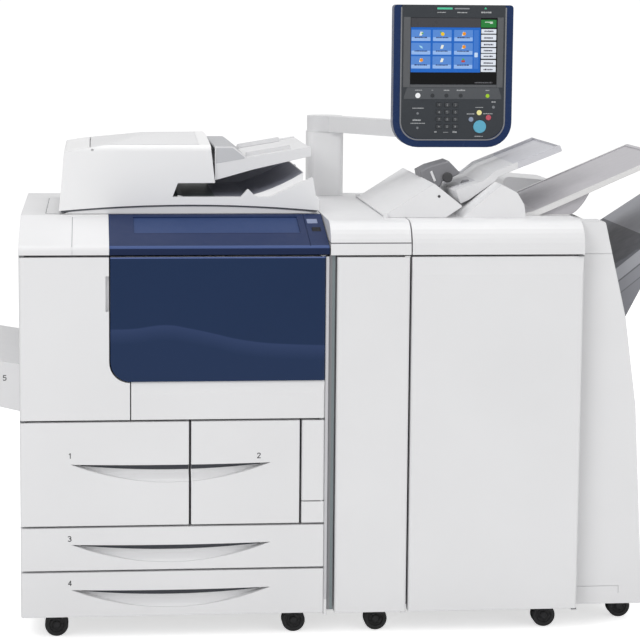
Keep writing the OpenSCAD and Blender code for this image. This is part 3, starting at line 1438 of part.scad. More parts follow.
// Side view of the stacker tray, less its wall if inset is above zero
module stacker_outline(inset) {
  x = [stacker_x - over * sign(inset), x_max];
  w = x_max - stacker_x;
  lower = [for (s = stacker_share) [stacker_x + w * s[0] - inset,
    stacker_z + s[1] * stacker_drop + 2 * inset, slope_r]];
  polygon(soft([[x[0], stacker_z - 3 * inset], if (inset == 0) [x[1] - stacker_t,
    stacker_z + stacker_rise, slope_r],
    if (inset == 0) [x[1], stacker_z + stacker_rise - stacker_t, edge_r],
    each lower, [x[0], stacker_z - stacker_drop + inset]]));
}

// Large ribbed tray that rides up and down on the end of the finisher
module stacker_tray() {
  rise = stacker_rise / (x_max - stacker_x);
  rib_x = [stacker_x + rib_h, x_max - 3 * stacker_t];
  rib_z = [for (x = rib_x) stacker_z + rise * (x - stacker_x)];
  color(mid_grey) {
    difference() {
      prism_y(stacker_y) stacker_outline(0);
      prism_y([stacker_y[0] + 2 * cover_t, stacker_y[1] - 2 * cover_t]) stacker_outline(2 * cover_t);
    }
    // Ribs that the sheets slide on
    for (i = [0:stacker_ribs - 1])
      let (y = along(stacker_y[0] + rib_t, stacker_y[1] - 2 * rib_t, i / (stacker_ribs - 1)))
      prism_y([y, y + rib_t]) polygon([[rib_x[0], rib_z[0] - rib_h], [rib_x[0], rib_z[0] + rib_h / 2],
        [rib_x[1], rib_z[1] + rib_h / 2], [rib_x[1], rib_z[1] - rib_h]]);
    // Webs with the tongues that run in the slots
    for (y = slot_y) {
      block([end_x + seat_gap, stacker_x + 2 * over],
        [y - slot_w / 2 + seat_gap, y + slot_w / 2 - seat_gap],
        stacker_tongue);
      prism_y([y - slot_w / 2, y + slot_w / 2]) stacker_outline(over);
    }
  }
}

// Swivel fork of a twin-wheel caster
module caster_fork(i) {
  c = caster_places[i];
  px = pin_x(i);
  color(tyre_black) difference() {
    union() {
      rod_z([fork_z - fork_t, fork_z], px, c[1], hood_r);
      rod_z([fork_z - over, base_z + plate_t - seat_gap], px, c[1], kingpin_r);
      rod_z([fork_z - over, base_z - seat_gap], px, c[1], 2 * kingpin_r);
      // Web between the wheels
      prism_y([c[1] - web_w / 2, c[1] + web_w / 2]) polygon([[px - c[2] * 3 * kingpin_r, fork_z - over],
        [c[0] - c[2] * axle_r * 2, wheel_z], [c[0], wheel_z - 2 * axle_r],
          [c[0] + c[2] * axle_r * 2, wheel_z],
        [px + c[2] * 3 * kingpin_r, fork_z - over]]);
    }
    rod_y([c[1] - web_w, c[1] + web_w], c[0], wheel_z, axle_r + pin_fit);
  }
}

// Twin wheels on their common axle
module caster_wheel(i) {
  c = caster_places[i];
  color(tyre_black) {
    for (s = [-1, 1]) wheel_disc_y(c[0], c[1] + s * (web_w / 2 + web_gap + wheel_w / 2));
    rod_y([c[1] - web_w, c[1] + web_w], c[0], wheel_z, axle_r);
  }
}

module wheel_disc_y(x, y) {
  translate([x, y, wheel_z]) rotate([90, 0, 0]) wheel_disc();
}

// Wheel disc with a round shoulder and a dished side
module wheel_disc() {
  rotate_extrude($fn = round_fn) polygon(soft([[0, -wheel_w / 2], [wheel_r, -wheel_w / 2, edge_r],
    [wheel_r, wheel_w / 2, edge_r], [wheel_r * dish_share[0], wheel_w / 2],
    [wheel_r * dish_share[1], wheel_w / 4], [wheel_r * dish_share[2], wheel_w / 4],
    [wheel_r * dish_share[3], wheel_w / 2], [0, wheel_w / 2]]));
}

module caster_fork_1() { caster_fork(0); }
module caster_fork_2() { caster_fork(1); }
module caster_fork_3() { caster_fork(2); }
module caster_fork_4() { caster_fork(3); }
module caster_fork_5() { caster_fork(4); }
module caster_wheel_1() { caster_wheel(0); }
module caster_wheel_2() { caster_wheel(1); }
module caster_wheel_3() { caster_wheel(2); }
module caster_wheel_4() { caster_wheel(3); }
module caster_wheel_5() { caster_wheel(4); }

// Rear wheels of the cabinets, all on one axle line
module rear_wheels() {
  color(tyre_black) for (x = rear_places) {
    for (s = [-1, 1])
      translate([x + s * (web_w / 2 + web_gap + wheel_w / 2), rear_axle_y, wheel_z]) rotate([0, 90,
        0]) wheel_disc();
    rod_x([x - web_w, x + web_w], rear_axle_y, wheel_z, axle_r);
  }
}

// Each piece in its place
place() engine_frame();
place() outer_covers();
place() scanner_housing();
place() platen_glass();
place() upper_front_panel();
place() print_unit();
place() bypass_tray();
place() panel_post();
place() interface_frame();
place() interface_top_cover();
place() finisher_frame();
place() finisher_top_cover();
place() finisher_end_cover();
place() top_output_tray();
place() power_switch();
place() scan_carriage();
place() imaging_drum();
place() heat_roller();
place() pressure_roller();
place() toner_bottle();
place() drawer_1_front();
place() drawer_1_tray();
place() drawer_2_front();
place() drawer_2_tray();
place() drawer_3_front();
place() drawer_3_tray();
place() drawer_4_front();
place() drawer_4_tray();
place() transport_flap();
place() front_door_base();
place() front_door_panel();
place() toner_door();
place() feeder_body();
place() feeder_top_cover();
place() document_tray();
place() front_paper_guide();
place() rear_paper_guide();
place() panel_arm();
place() panel_shell();
place() panel_bezel();
place() panel_screen();
place() start_button();
place() stop_button();
place() number_keys();
place() interface_door();
place() finisher_door();
place() insert_head();
place() insert_tray();
place() stacker_tray();
place() caster_fork_1();
place() caster_fork_2();
place() caster_fork_3();
place() caster_fork_4();
place() caster_fork_5();
place() caster_wheel_1();
place() caster_wheel_2();
place() caster_wheel_3();
place() caster_wheel_4();
place() caster_wheel_5();
place() rear_wheels();
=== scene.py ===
import math
import random

import bmesh
import bpy
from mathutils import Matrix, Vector


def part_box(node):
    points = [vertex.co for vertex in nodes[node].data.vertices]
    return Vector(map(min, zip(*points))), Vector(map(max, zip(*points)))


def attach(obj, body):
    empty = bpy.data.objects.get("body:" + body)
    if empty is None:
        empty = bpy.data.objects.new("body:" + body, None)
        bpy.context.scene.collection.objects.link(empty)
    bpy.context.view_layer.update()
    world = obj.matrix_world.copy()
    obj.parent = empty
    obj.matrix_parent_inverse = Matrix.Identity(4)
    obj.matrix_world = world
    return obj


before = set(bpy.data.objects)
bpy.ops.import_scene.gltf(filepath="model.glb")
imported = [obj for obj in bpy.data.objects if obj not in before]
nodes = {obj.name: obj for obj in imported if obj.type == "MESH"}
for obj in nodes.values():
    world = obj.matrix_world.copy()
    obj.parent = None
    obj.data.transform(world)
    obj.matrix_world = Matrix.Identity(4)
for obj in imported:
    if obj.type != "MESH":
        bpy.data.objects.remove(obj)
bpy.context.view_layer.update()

# Camera, floor and studio light
# The printer stands on a plain white floor in front of a white backdrop, seen
# from a little above and from the left of its middle, in soft even light.

# The frame's origin, as it lies from the engine's left cover and its front faces
origin_x, origin_y = 698, 385


def at(x, y, z):
    """A place in millimetres from the engine's left cover, its front faces and the floor."""
    return Vector(((x - origin_x) / 1000, (y - origin_y) / 1000, z / 1000))


camera = bpy.data.objects.new("camera", bpy.data.cameras.new("camera"))
bpy.context.scene.collection.objects.link(camera)
camera.data.sensor_width = 36
camera.data.lens = 118.1
camera.data.shift_x = 0.05
camera.data.shift_y = -0.1
camera.data.clip_end = 60
camera.location = at(168, -4618, 1422)
camera.rotation_euler = (math.radians(90 - 6.716), math.radians(-0.393), math.radians(-5.255))
bpy.context.scene.camera = camera

floor_mesh = bpy.data.meshes.new("floor")
reach = 14
floor_mesh.from_pydata([(-reach, -reach, 0), (reach, -reach, 0), (reach, reach, 0), (-reach, reach, 0)], [],
                       [(0, 1, 2, 3)])
floor = bpy.data.objects.new("floor", floor_mesh)
bpy.context.scene.collection.objects.link(floor)
floor_paint = bpy.data.materials.new("white_floor")
floor_paint.use_nodes = True
floor_tree = floor_paint.node_tree
floor_shader = floor_tree.nodes["Principled BSDF"]
floor_shader.inputs["Base Color"].default_value = (0.9, 0.9, 0.9, 1)
floor_shader.inputs["Roughness"].default_value = 0.8
floor_shader.inputs["Specular IOR Level"].default_value = 0
# The camera sees a little glow on the floor, so that it is as white as the backdrop
floor_path = floor_tree.nodes.new("ShaderNodeLightPath")
floor_glow = floor_tree.nodes.new("ShaderNodeMath")
floor_glow.operation = "MULTIPLY"
floor_glow.inputs[1].default_value = 0.64
floor_tree.links.new(floor_path.outputs["Is Camera Ray"], floor_glow.inputs[0])
floor_shader.inputs["Emission Color"].default_value = (1, 1, 1, 1)
floor_tree.links.new(floor_glow.outputs[0], floor_shader.inputs["Emission Strength"])
floor_mesh.materials.append(floor_paint)

world = bpy.data.worlds.new("studio")
bpy.context.scene.world = world
world.use_nodes = True
sky_tree = world.node_tree
sky_tree.nodes.clear()
soft_sky = sky_tree.nodes.new("ShaderNodeBackground")
soft_sky.inputs["Color"].default_value = (1, 1, 1, 1)
soft_sky.inputs["Strength"].default_value = 0.52
white_sky = sky_tree.nodes.new("ShaderNodeBackground")
white_sky.inputs["Color"].default_value = (1, 1, 1, 1)
white_sky.inputs["Strength"].default_value = 1.05
sky_path = sky_tree.nodes.new("ShaderNodeLightPath")
sky_mix = sky_tree.nodes.new("ShaderNodeMixShader")
sky_out = sky_tree.nodes.new("ShaderNodeOutputWorld")
sky_tree.links.new(sky_path.outputs["Is Camera Ray"], sky_mix.inputs[0])
sky_tree.links.new(soft_sky.outputs[0], sky_mix.inputs[1])
sky_tree.links.new(white_sky.outputs[0], sky_mix.inputs[2])
sky_tree.links.new(sky_mix.outputs[0], sky_out.inputs[0])


def softbox(name, place, aim, size, watts):
    """A rectangular lamp that looks from its place to its aim."""
    lamp = bpy.data.objects.new(name, bpy.data.lights.new(name, "AREA"))
    bpy.context.scene.collection.objects.link(lamp)
    lamp.data.shape = "RECTANGLE"
    lamp.data.size, lamp.data.size_y = size
    lamp.data.energy = watts
    lamp.location = place
    lamp.rotation_euler = (Vector(aim) - Vector(place)).to_track_quat("-Z", "Y").to_euler()


softbox("key_light", (-2.6, -3.6, 3.4), (0, 0, 0.6), (2.4, 2.4), 78)
softbox("fill_light", (3.2, -3.4, 2.2), (0.2, 0, 0.6), (2.6, 2.6), 37)
softbox("top_light", (0.2, 0.4, 4.2), (0, 0, 0.8), (3.0, 2.0), 50)

bpy.context.scene.view_settings.view_transform = "Standard"

# Sheet metal frames
# The engine, the column and the finisher stand on folded sheet steel frames,
# spot welded and powder coated grey. They show in the joints between covers.


def shade_of(red, green, blue):
    """A colour as it is read off a screen, in the renderer's linear values."""
    return tuple(((c / 255 + 0.055) / 1.055) ** 2.4 if c > 10 else c / 255 / 12.92
                 for c in (red, green, blue))


def finish_of(name, colour, rough, grain=0.0, grain_size=900.0, metal=0.0, coat=0.0, tint=0.03,
              round_edge=0.0012, scuff=0.06, gloss_level=0.5, glow=0.0):
    """A procedural finish: a drifting tint, fine moulded grain, scuffs and softened edges."""
    paint = bpy.data.materials.new(name)
    paint.use_nodes = True
    tree = paint.node_tree
    shader = tree.nodes["Principled BSDF"]
    shader.inputs["Metallic"].default_value = metal
    shader.inputs["Coat Weight"].default_value = coat
    shader.inputs["Coat Roughness"].default_value = 0.12
    shader.inputs["Specular IOR Level"].default_value = gloss_level
    shader.inputs["Emission Color"].default_value = (*colour, 1)
    shader.inputs["Emission Strength"].default_value = glow
    place = tree.nodes.new("ShaderNodeTexCoord")
    drift = tree.nodes.new("ShaderNodeTexNoise")
    drift.inputs["Scale"].default_value = 2.3
    drift.inputs["Detail"].default_value = 3
    tree.links.new(place.outputs["Object"], drift.inputs["Vector"])
    shade = tree.nodes.new("ShaderNodeValToRGB")
    shade.color_ramp.elements[0].position = 0.3
    shade.color_ramp.elements[1].position = 0.7
    base = [c * (1 - glow) for c in colour]
    shade.color_ramp.elements[0].color = (*[c * (1 - tint) for c in base], 1)
    shade.color_ramp.elements[1].color = (*[min(1, c * (1 + tint * 0.6)) for c in base], 1)
    tree.links.new(drift.outputs["Fac"], shade.inputs["Fac"])
    tree.links.new(shade.outputs["Color"], shader.inputs["Base Color"])
    wear = tree.nodes.new("ShaderNodeTexNoise")
    wear.inputs["Scale"].default_value = 38
    wear.inputs["Detail"].default_value = 5
    tree.links.new(place.outputs["Object"], wear.inputs["Vector"])
    gloss = tree.nodes.new("ShaderNodeMapRange")
    gloss.inputs["From Min"].default_value = 0.3
    gloss.inputs["From Max"].default_value = 0.7
    gloss.inputs["To Min"].default_value = max(0.02, rough - scuff)
    gloss.inputs["To Max"].default_value = min(1, rough + scuff)
    tree.links.new(wear.outputs["Fac"], gloss.inputs["Value"])
    tree.links.new(gloss.outputs["Result"], shader.inputs["Roughness"])
    edge = tree.nodes.new("ShaderNodeBevel")
    edge.samples = 4
    edge.inputs["Radius"].default_value = round_edge
    last = edge.outputs["Normal"]
    if grain:
        speck = tree.nodes.new("ShaderNodeTexNoise")
        speck.inputs["Scale"].default_value = grain_size
        speck.inputs["Detail"].default_value = 2
        tree.links.new(place.outputs["Object"], speck.inputs["Vector"])
        bump = tree.nodes.new("ShaderNodeBump")
        bump.inputs["Strength"].default_value = grain
        bump.inputs["Distance"].default_value = 0.0002
        tree.links.new(speck.outputs["Fac"], bump.inputs["Height"])
        tree.links.new(last, bump.inputs["Normal"])
        last = bump.outputs["Normal"]
    tree.links.new(last, shader.inputs["Normal"])
    return paint


def repaint_inside(paint, low, high, colour):
    """Gives the piece another colour inside a block, from its low to its high corner."""
    tree = paint.node_tree
    shader = tree.nodes["Principled BSDF"]
    source = shader.inputs["Base Color"].links[0].from_socket
    place = next(n for n in tree.nodes if n.type == "TEX_COORD")
    split = tree.nodes.new("ShaderNodeSeparateXYZ")
    tree.links.new(place.outputs["Object"], split.inputs[0])
    inside = None
    for axis, (a, b) in enumerate(zip(at(*low), at(*high))):
        near = tree.nodes.new("ShaderNodeMath")
        near.operation = "COMPARE"
        near.inputs[1].default_value = (a + b) / 2
        near.inputs[2].default_value = (b - a) / 2
        tree.links.new(split.outputs[axis], near.inputs[0])
        if inside is None:
            inside = near.outputs[0]
            continue
        both = tree.nodes.new("ShaderNodeMath")
        both.operation = "MULTIPLY"
        tree.links.new(inside, both.inputs[0])
        tree.links.new(near.outputs[0], both.inputs[1])
        inside = both.outputs[0]
    mix = tree.nodes.new("ShaderNodeMix")
    mix.data_type = "RGBA"
    tree.links.new(inside, mix.inputs[0])
    tree.links.new(source, mix.inputs[6])
    mix.inputs[7].default_value = (*colour, 1)
    tree.links.new(mix.outputs[2], shader.inputs["Base Color"])


def dress(paint, *names):
    """Puts one finish on the CAD nodes of these names."""
    for name in names:
        mesh = nodes[name].data
        mesh.materials.clear()
        mesh.materials.append(paint)


powder_coat = finish_of("powder_coated_steel", (0.20, 0.205, 0.215), 0.5, grain=0.25, grain_size=700,
                        metal=0.1)
zinc_steel = finish_of("zinc_plated_steel", (0.60, 0.61, 0.62), 0.36, grain=0.12, grain_size=260,
                       metal=0.85)
dress(powder_coat, "engine_frame", "finisher_frame")

# White moulded covers
# Injection moulded covers in a cool off-white with a fine spark grain,
# screwed to the frames.

cool_white = (0.79, 0.79, 0.80)


def moulded(name, colour=cool_white, rough=0.42):
    """The finish of a moulded cover, in the covers' white unless another colour is given."""
    return finish_of(name, colour, rough, grain=0.18, grain_size=1100)


white_shell = moulded("white_moulded_plastic")
# The side cover's right edge lies in the shade of the next unit
cover_white = moulded("side_cover_plastic")
repaint_inside(cover_white, (683, -1, 90), (691, 20, 878), (0.57, 0.57, 0.59))
dress(cover_white, "outer_covers")
# The ledge along the scanner housing before the lid is painted brighter: painted light on its top
housing_with_painted_light = moulded("scanner_housing_with_painted_light")
repaint_inside(housing_with_painted_light, (92, 186, 949), (690, 230, 951), (0.95, 0.95, 0.95))
dress(housing_with_painted_light, "scanner_housing")
# A thin dark joint crosses the front of the joining unit's cover
joining_white = moulded("joining_cover_plastic")
repaint_inside(joining_white, (690, -60, 902.5), (905, 60, 905), (0.13, 0.13, 0.14))
dress(joining_white, "interface_top_cover")
dress(white_shell, "toner_door", "front_door_base", "transport_flap",
      "drawer_1_front", "drawer_2_front", "drawer_3_front", "drawer_4_front", "bypass_tray",
      "feeder_top_cover", "interface_door", "finisher_top_cover",
      "finisher_door", "finisher_end_cover", "insert_head")

# Docking strip
# The side of the joining unit shows as a satin strip beside the engine, where the two units dock. Its grey
# is painted shade of the gap between the units, in three tones that darken towards the joint.

dock_with_painted_shade = moulded("docking_unit_with_painted_shade")
for left, right, tone in ((680, 698, (0.31, 0.31, 0.325)), (698, 704, (0.25, 0.30, 0.31)),
                          (704, 709, (0.14, 0.145, 0.155))):
    repaint_inside(dock_with_painted_shade, (left, -1, 50), (right, 400, 880), tone)
dress(dock_with_painted_shade, "interface_frame")

# Screws and louvre fins of the rear cover
# Cross-headed black screws hold the rear covers, and slanted fins stand
# behind the air slots.


sharp_angle = 0.6


def finished(name, form, paint, body):
    """Closes a form into one piece that moves with its body."""
    bmesh.ops.recalc_face_normals(form, faces=form.faces)
    mesh = bpy.data.meshes.new(name)
    form.to_mesh(mesh)
    form.free()
    mesh.materials.append(paint)
    mesh.shade_smooth()
    mesh.set_sharp_from_angle(angle=sharp_angle)
    piece = bpy.data.objects.new(name, mesh)
    bpy.context.scene.collection.objects.link(piece)
    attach(piece, body)


def shrunk(outline, d):
    """The outline moved inwards by d, corner by corner."""
    out = []
    for i, (x, z) in enumerate(outline):
        before = (Vector((x, z)) - Vector(outline[i - 1])).normalized()
        after = (Vector(outline[(i + 1) % len(outline)]) - Vector((x, z))).normalized()
        a, b = Vector((-before.y, before.x)), Vector((-after.y, after.x))
        shift = (a + b) * (d / max(0.3, 1 + a.dot(b)))
        out.append((x + shift.x, z + shift.y))
    return out


def add_slab(form, outline, back, front, lip=0.0, lay=at):
    """A slab from its back to its front with an anticlockwise outline and a chamfered front edge."""
    step = lip if front < back else -lip
    rings = [(outline, back), (outline, front + step)]
    if lip:
        rings.append((shrunk(outline, lip), front))
    loops = [[form.verts.new(lay(x, y, z)) for x, z in ring] for ring, y in rings]
    n = len(outline)
    for a, b in zip(loops, loops[1:]):
        for i in range(n):
            form.faces.new((a[i], a[(i + 1) % n], b[(i + 1) % n], b[i]))
    form.faces.new(loops[0][::-1])
    form.faces.new(loops[-1])


def rounded(x0, z0, x1, z1, r, steps=4):
    """Anticlockwise outline of a rectangle with round corners."""
    corners = [(x1 - r, z0 + r, -90), (x1 - r, z1 - r, 0), (x0 + r, z1 - r, 90), (x0 + r, z0 + r, 180)]
    return [(cx + r * math.cos(math.radians(a + 90 * i / steps)),
             cz + r * math.sin(math.radians(a + 90 * i / steps)))
            for cx, cz, a in corners for i in range(steps + 1)]


def disc(x, z, r, steps=24):
    """Anticlockwise outline of a circle."""
    return [(x + r * math.cos(math.tau * i / steps), z + r * math.sin(math.tau * i / steps))
            for i in range(steps)]


def repeated(name, form, paint, count, step, body):
    """A row of copies of one form, laid out by Geometry Nodes and baked to a mesh."""
    unit = bpy.data.meshes.new(name + "_unit")
    bmesh.ops.recalc_face_normals(form, faces=form.faces)
    form.to_mesh(unit)
    form.free()
    holder = bpy.data.objects.new(name + "_row", unit)
    bpy.context.scene.collection.objects.link(holder)
    group = bpy.data.node_groups.new(name + "_layout", "GeometryNodeTree")
    group.interface.new_socket("Unit", in_out="INPUT", socket_type="NodeSocketGeometry")
    count_in = group.interface.new_socket("Count", in_out="INPUT", socket_type="NodeSocketInt")
    step_in = group.interface.new_socket("Step", in_out="INPUT", socket_type="NodeSocketVector")
    group.interface.new_socket("Row", in_out="OUTPUT", socket_type="NodeSocketGeometry")
    enter = group.nodes.new("NodeGroupInput")
    leave = group.nodes.new("NodeGroupOutput")
    line = group.nodes.new("GeometryNodeMeshLine")
    copies = group.nodes.new("GeometryNodeInstanceOnPoints")
    real = group.nodes.new("GeometryNodeRealizeInstances")
    coat = group.nodes.new("GeometryNodeSetMaterial")
    coat.inputs["Material"].default_value = paint
    link = group.links.new
    link(enter.outputs["Count"], line.inputs["Count"])
    link(enter.outputs["Step"], line.inputs["Offset"])
    link(line.outputs["Mesh"], copies.inputs["Points"])
    link(enter.outputs["Unit"], copies.inputs["Instance"])
    link(copies.outputs["Instances"], real.inputs["Geometry"])
    link(real.outputs["Geometry"], coat.inputs["Geometry"])
    link(coat.outputs["Geometry"], leave.inputs["Row"])
    layout = holder.modifiers.new("layout", "NODES")
    layout.node_group = group
    layout[count_in.identifier] = count
    layout[step_in.identifier] = [s / 1000 for s in step]
    bpy.context.view_layer.update()
    baked = bpy.data.meshes.new_from_object(holder.evaluated_get(bpy.context.evaluated_depsgraph_get()))
    holder.modifiers.remove(layout)
    holder.data = baked
    holder.name = name
    baked.materials.clear()
    baked.materials.append(paint)
    baked.shade_smooth()
    baked.set_sharp_from_angle(angle=sharp_angle)
    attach(holder, body)


def seen_from_behind(x, y, z):
    """A place on the back, with x counted to the left, so that outlines stay anticlockwise."""
    return at(-x, y, z)


screw_black = finish_of("black_oxide_screw", (0.03, 0.03, 0.032), 0.35, metal=0.6, round_edge=0.0003)
first_screw, screw_pitch, screw_count = -660, 126, 6
head_top, cross_top = 771.2, 771.35
for row, height in (("lower", 80), ("upper", 850)):
    screw = bmesh.new()
    add_slab(screw, disc(first_screw, height, 4.2, 20), 769, head_top, 0.7, seen_from_behind)
    for half_x, half_z in ((2.4, 0.5), (0.5, 2.4)):
        cross = rounded(first_screw - half_x, height - half_z, first_screw + half_x, height + half_z,
                        0.3, 2)
        add_slab(screw, cross, 771, cross_top, 0.1, seen_from_behind)
    repeated(f"{row}_rear_screws", screw, screw_black, screw_count, (-screw_pitch, 0, 0), "cabinets")

fin = bmesh.new()
add_slab(fin, [(763.4, 621), (764.6, 620.2), (768.8, 625), (767.6, 625.8)], 122, 410, 0,
         lambda y, x, z: at(x, y, z))
fin_count, fin_pitch = 8, 14
repeated("louvre_fins", fin, white_shell, fin_count, (0, 0, fin_pitch), "cabinets")

socket = bmesh.new()
add_slab(socket, rounded(-598, 112, -554, 141, 3), 762, 767.5, 0.8, seen_from_behind)
add_slab(socket, rounded(-592, 116, -560, 137, 2), 767, 768.6, 0.5, seen_from_behind)
finished("inlet_socket", socket, screw_black, "cabinets")
blades = bmesh.new()
for bx, bz in ((-584, 129), (-568, 129), (-576, 122)):
    add_slab(blades, rounded(bx - 1.2, bz - 3.2, bx + 1.2, bz + 3.2, 0.5, 2), 768, 769.4, 0.2,
             seen_from_behind)
finished("inlet_blades", blades, zinc_steel, "cabinets")

# Glass, scan carriage and printing parts
# Behind the doors lie a dark grey moulded unit, the green imaging drum, the
# fuser rollers and the black toner bottle.

clear_glass = bpy.data.materials.new("platen_glass")
clear_glass.use_nodes = True
glass_shader = clear_glass.node_tree.nodes["Principled BSDF"]
glass_shader.inputs["Base Color"].default_value = (0.72, 0.82, 0.84, 1)
glass_shader.inputs["Roughness"].default_value = 0.03
glass_shader.inputs["Transmission Weight"].default_value = 0.85
glass_shader.inputs["IOR"].default_value = 1.5
dress(clear_glass, "platen_glass")

unit_grey = finish_of("grey_moulded_plastic", (0.16, 0.165, 0.175), 0.5, grain=0.3, grain_size=800)
dress(unit_grey, "print_unit", "scan_carriage")
drum_green = finish_of("drum_coating", (0.05, 0.20, 0.16), 0.18, coat=0.6, tint=0.06)
dress(drum_green, "imaging_drum")
heat_sleeve = finish_of("fuser_sleeve", (0.16, 0.09, 0.06), 0.22, coat=0.4, tint=0.08)
dress(heat_sleeve, "heat_roller")
soft_rubber = finish_of("soft_rubber", (0.055, 0.055, 0.058), 0.72, grain=0.5, grain_size=420)
dress(soft_rubber, "pressure_roller")
toner_black = finish_of("toner_bottle_plastic", (0.028, 0.03, 0.034), 0.4, grain=0.3)
dress(toner_black, "toner_bottle")

# Blue front panels
# The door and the control panel's shell are painted glossy deep blue, and the sloping panel above the door
# is satin, with a lighter field set into it. The slope has painted shade on its upright foot, a painted
# highlight along the edge above it and painted shadow along the field's lower border. A wave of painted
# highlight in lighter blue runs down across the door and fades out below, and a painted glint lines the
# door's top edge.

panel_blue = finish_of("deep_blue_gloss", (0.009, 0.028, 0.098), 0.26, coat=0.1, tint=0.04,
                       gloss_level=0.25)
dress(panel_blue, "panel_shell")
slope_blue_with_painted_light = finish_of("satin_blue_slope_with_painted_light", shade_of(35, 50, 88), 0.55, tint=0.02, scuff=0.02,
                       gloss_level=0.15)
repaint_inside(slope_blue_with_painted_light, (256, 80, 860), (632, 179, 960), shade_of(48, 67, 110))
# Painted shade darkens the upright foot of the slope, above the door
repaint_inside(slope_blue_with_painted_light, (196, -2, 870), (692, 3, 895), shade_of(26, 39, 71))
# A painted highlight runs along the edge where the slope meets its foot
repaint_inside(slope_blue_with_painted_light, (196, -2, 893), (692, 8, 900), shade_of(70, 88, 134))
# Painted shadow darkens the lower border of the lighter field
repaint_inside(slope_blue_with_painted_light, (256, 75, 900), (632, 80, 930), shade_of(26, 38, 76))
dress(slope_blue_with_painted_light, "upper_front_panel")

door_blue_with_painted_highlight = finish_of("deep_blue_with_painted_wave_highlight", (0.0095, 0.0265, 0.078), 0.3, coat=0.05, tint=0.03,
                      gloss_level=0.2, scuff=0.02)
# The wave is a painted highlight: a lighter blue band for the sheen off a soft crease, sharp at its crest
# and fading out below it
wave_tree = door_blue_with_painted_highlight.node_tree
wave_shader = wave_tree.nodes["Principled BSDF"]
wave_base = wave_shader.inputs["Base Color"].links[0].from_socket
wave_place = next(n for n in wave_tree.nodes if n.type == "TEX_COORD")
wave_split = wave_tree.nodes.new("ShaderNodeSeparateXYZ")
wave_tree.links.new(wave_place.outputs["Object"], wave_split.inputs[0])
along_door = wave_tree.nodes.new("ShaderNodeMapRange")
along_door.inputs["From Min"].default_value = at(202, 0, 0).x
along_door.inputs["From Max"].default_value = at(682, 0, 0).x
wave_tree.links.new(wave_split.outputs[0], along_door.inputs["Value"])
wave_line = wave_tree.nodes.new("ShaderNodeFloatCurve")
wave_tree.links.new(along_door.outputs["Result"], wave_line.inputs["Value"])
curve = wave_line.mapping.curves[0]
wave_points = [(0.0, 0.54), (0.1, 0.55), (0.26, 0.64), (0.36, 0.56), (0.48, 0.42), (0.59, 0.28),
               (0.72, 0.18), (0.84, 0.14), (1.0, 0.11)]
curve.points[0].location = wave_points[0]
curve.points[1].location = wave_points[-1]
for spot in wave_points[1:-1]:
    curve.points.new(*spot)
wave_line.mapping.update()
wave_height = wave_tree.nodes.new("ShaderNodeMapRange")
wave_height.inputs["To Min"].default_value = 0.665
wave_height.inputs["To Max"].default_value = 0.755
wave_tree.links.new(wave_line.outputs["Value"], wave_height.inputs["Value"])
below = wave_tree.nodes.new("ShaderNodeMath")
below.operation = "SUBTRACT"
wave_tree.links.new(wave_height.outputs["Result"], below.inputs[0])
wave_tree.links.new(wave_split.outputs[2], below.inputs[1])
crest = wave_tree.nodes.new("ShaderNodeMapRange")
crest.interpolation_type = "SMOOTHSTEP"
crest.inputs["From Min"].default_value = -0.001
crest.inputs["From Max"].default_value = 0.002
wave_tree.links.new(below.outputs[0], crest.inputs["Value"])
fade = wave_tree.nodes.new("ShaderNodeMapRange")
fade.inputs["From Min"].default_value = 0.0
fade.inputs["From Max"].default_value = 0.035
fade.inputs["To Min"].default_value = 1.0
fade.inputs["To Max"].default_value = 0.12
wave_tree.links.new(below.outputs[0], fade.inputs["Value"])
band = wave_tree.nodes.new("ShaderNodeMath")
band.operation = "MULTIPLY"
wave_tree.links.new(crest.outputs["Result"], band.inputs[0])
wave_tree.links.new(fade.outputs["Result"], band.inputs[1])
lift = wave_tree.nodes.new("ShaderNodeMix")
lift.data_type = "RGBA"
wave_tree.links.new(band.outputs[0], lift.inputs[0])
wave_tree.links.new(wave_base, lift.inputs[6])
lift.inputs[7].default_value = (0.026, 0.048, 0.125, 1)
wave_tree.links.new(lift.outputs[2], wave_shader.inputs["Base Color"])
door_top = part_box("front_door_panel")[1].z * 1000
# A painted highlight, a glint of lighter blue, runs along the door's top edge
repaint_inside(door_blue_with_painted_highlight, (200, -2, door_top - 2.8), (684, 60, door_top + 1), shade_of(92, 108, 156))
dress(door_blue_with_painted_highlight, "front_door_panel")

switch_black = finish_of("switch_black", (0.012, 0.014, 0.02), 0.55, gloss_level=0.15)
dress(switch_black, "power_switch")
slope_foot, slope_top, slope_depth = door_top + 23, 950, 190
slope_angle = math.atan2(slope_top - slope_foot, slope_depth)


def on_slope(x, y, z):
    """A place on the sloping panel, with y into the panel and z up the slope."""
    return at(x, z * math.cos(slope_angle) + y * math.sin(slope_angle),
              slope_foot + z * math.sin(slope_angle) - y * math.cos(slope_angle))


cover_seam = bmesh.new()
add_slab(cover_seam, rounded(117.5, 2, 118.9, 184, 0.4, 2), 0.3, -0.06, 0, on_slope)
finished("housing_seam", cover_seam, finish_of("seam_shadow", shade_of(150, 150, 155), 0.6), "cabinets")
label = bmesh.new()
add_slab(label, rounded(653, 141, 677, 168, 2), 0.5, -0.25, 0.1, on_slope)
finished("switch_label", label, finish_of("label_film", shade_of(128, 140, 172), 0.4), "cabinets")

# Paper drawers
# Zinc plated trays on runners behind white fronts, which have small printed
# numbers.

dress(zinc_steel, "drawer_1_tray", "drawer_2_tray", "drawer_3_tray", "drawer_4_tray")
print_grey = finish_of("printed_number_ink", (0.045, 0.045, 0.05), 0.5, round_edge=0.0001)

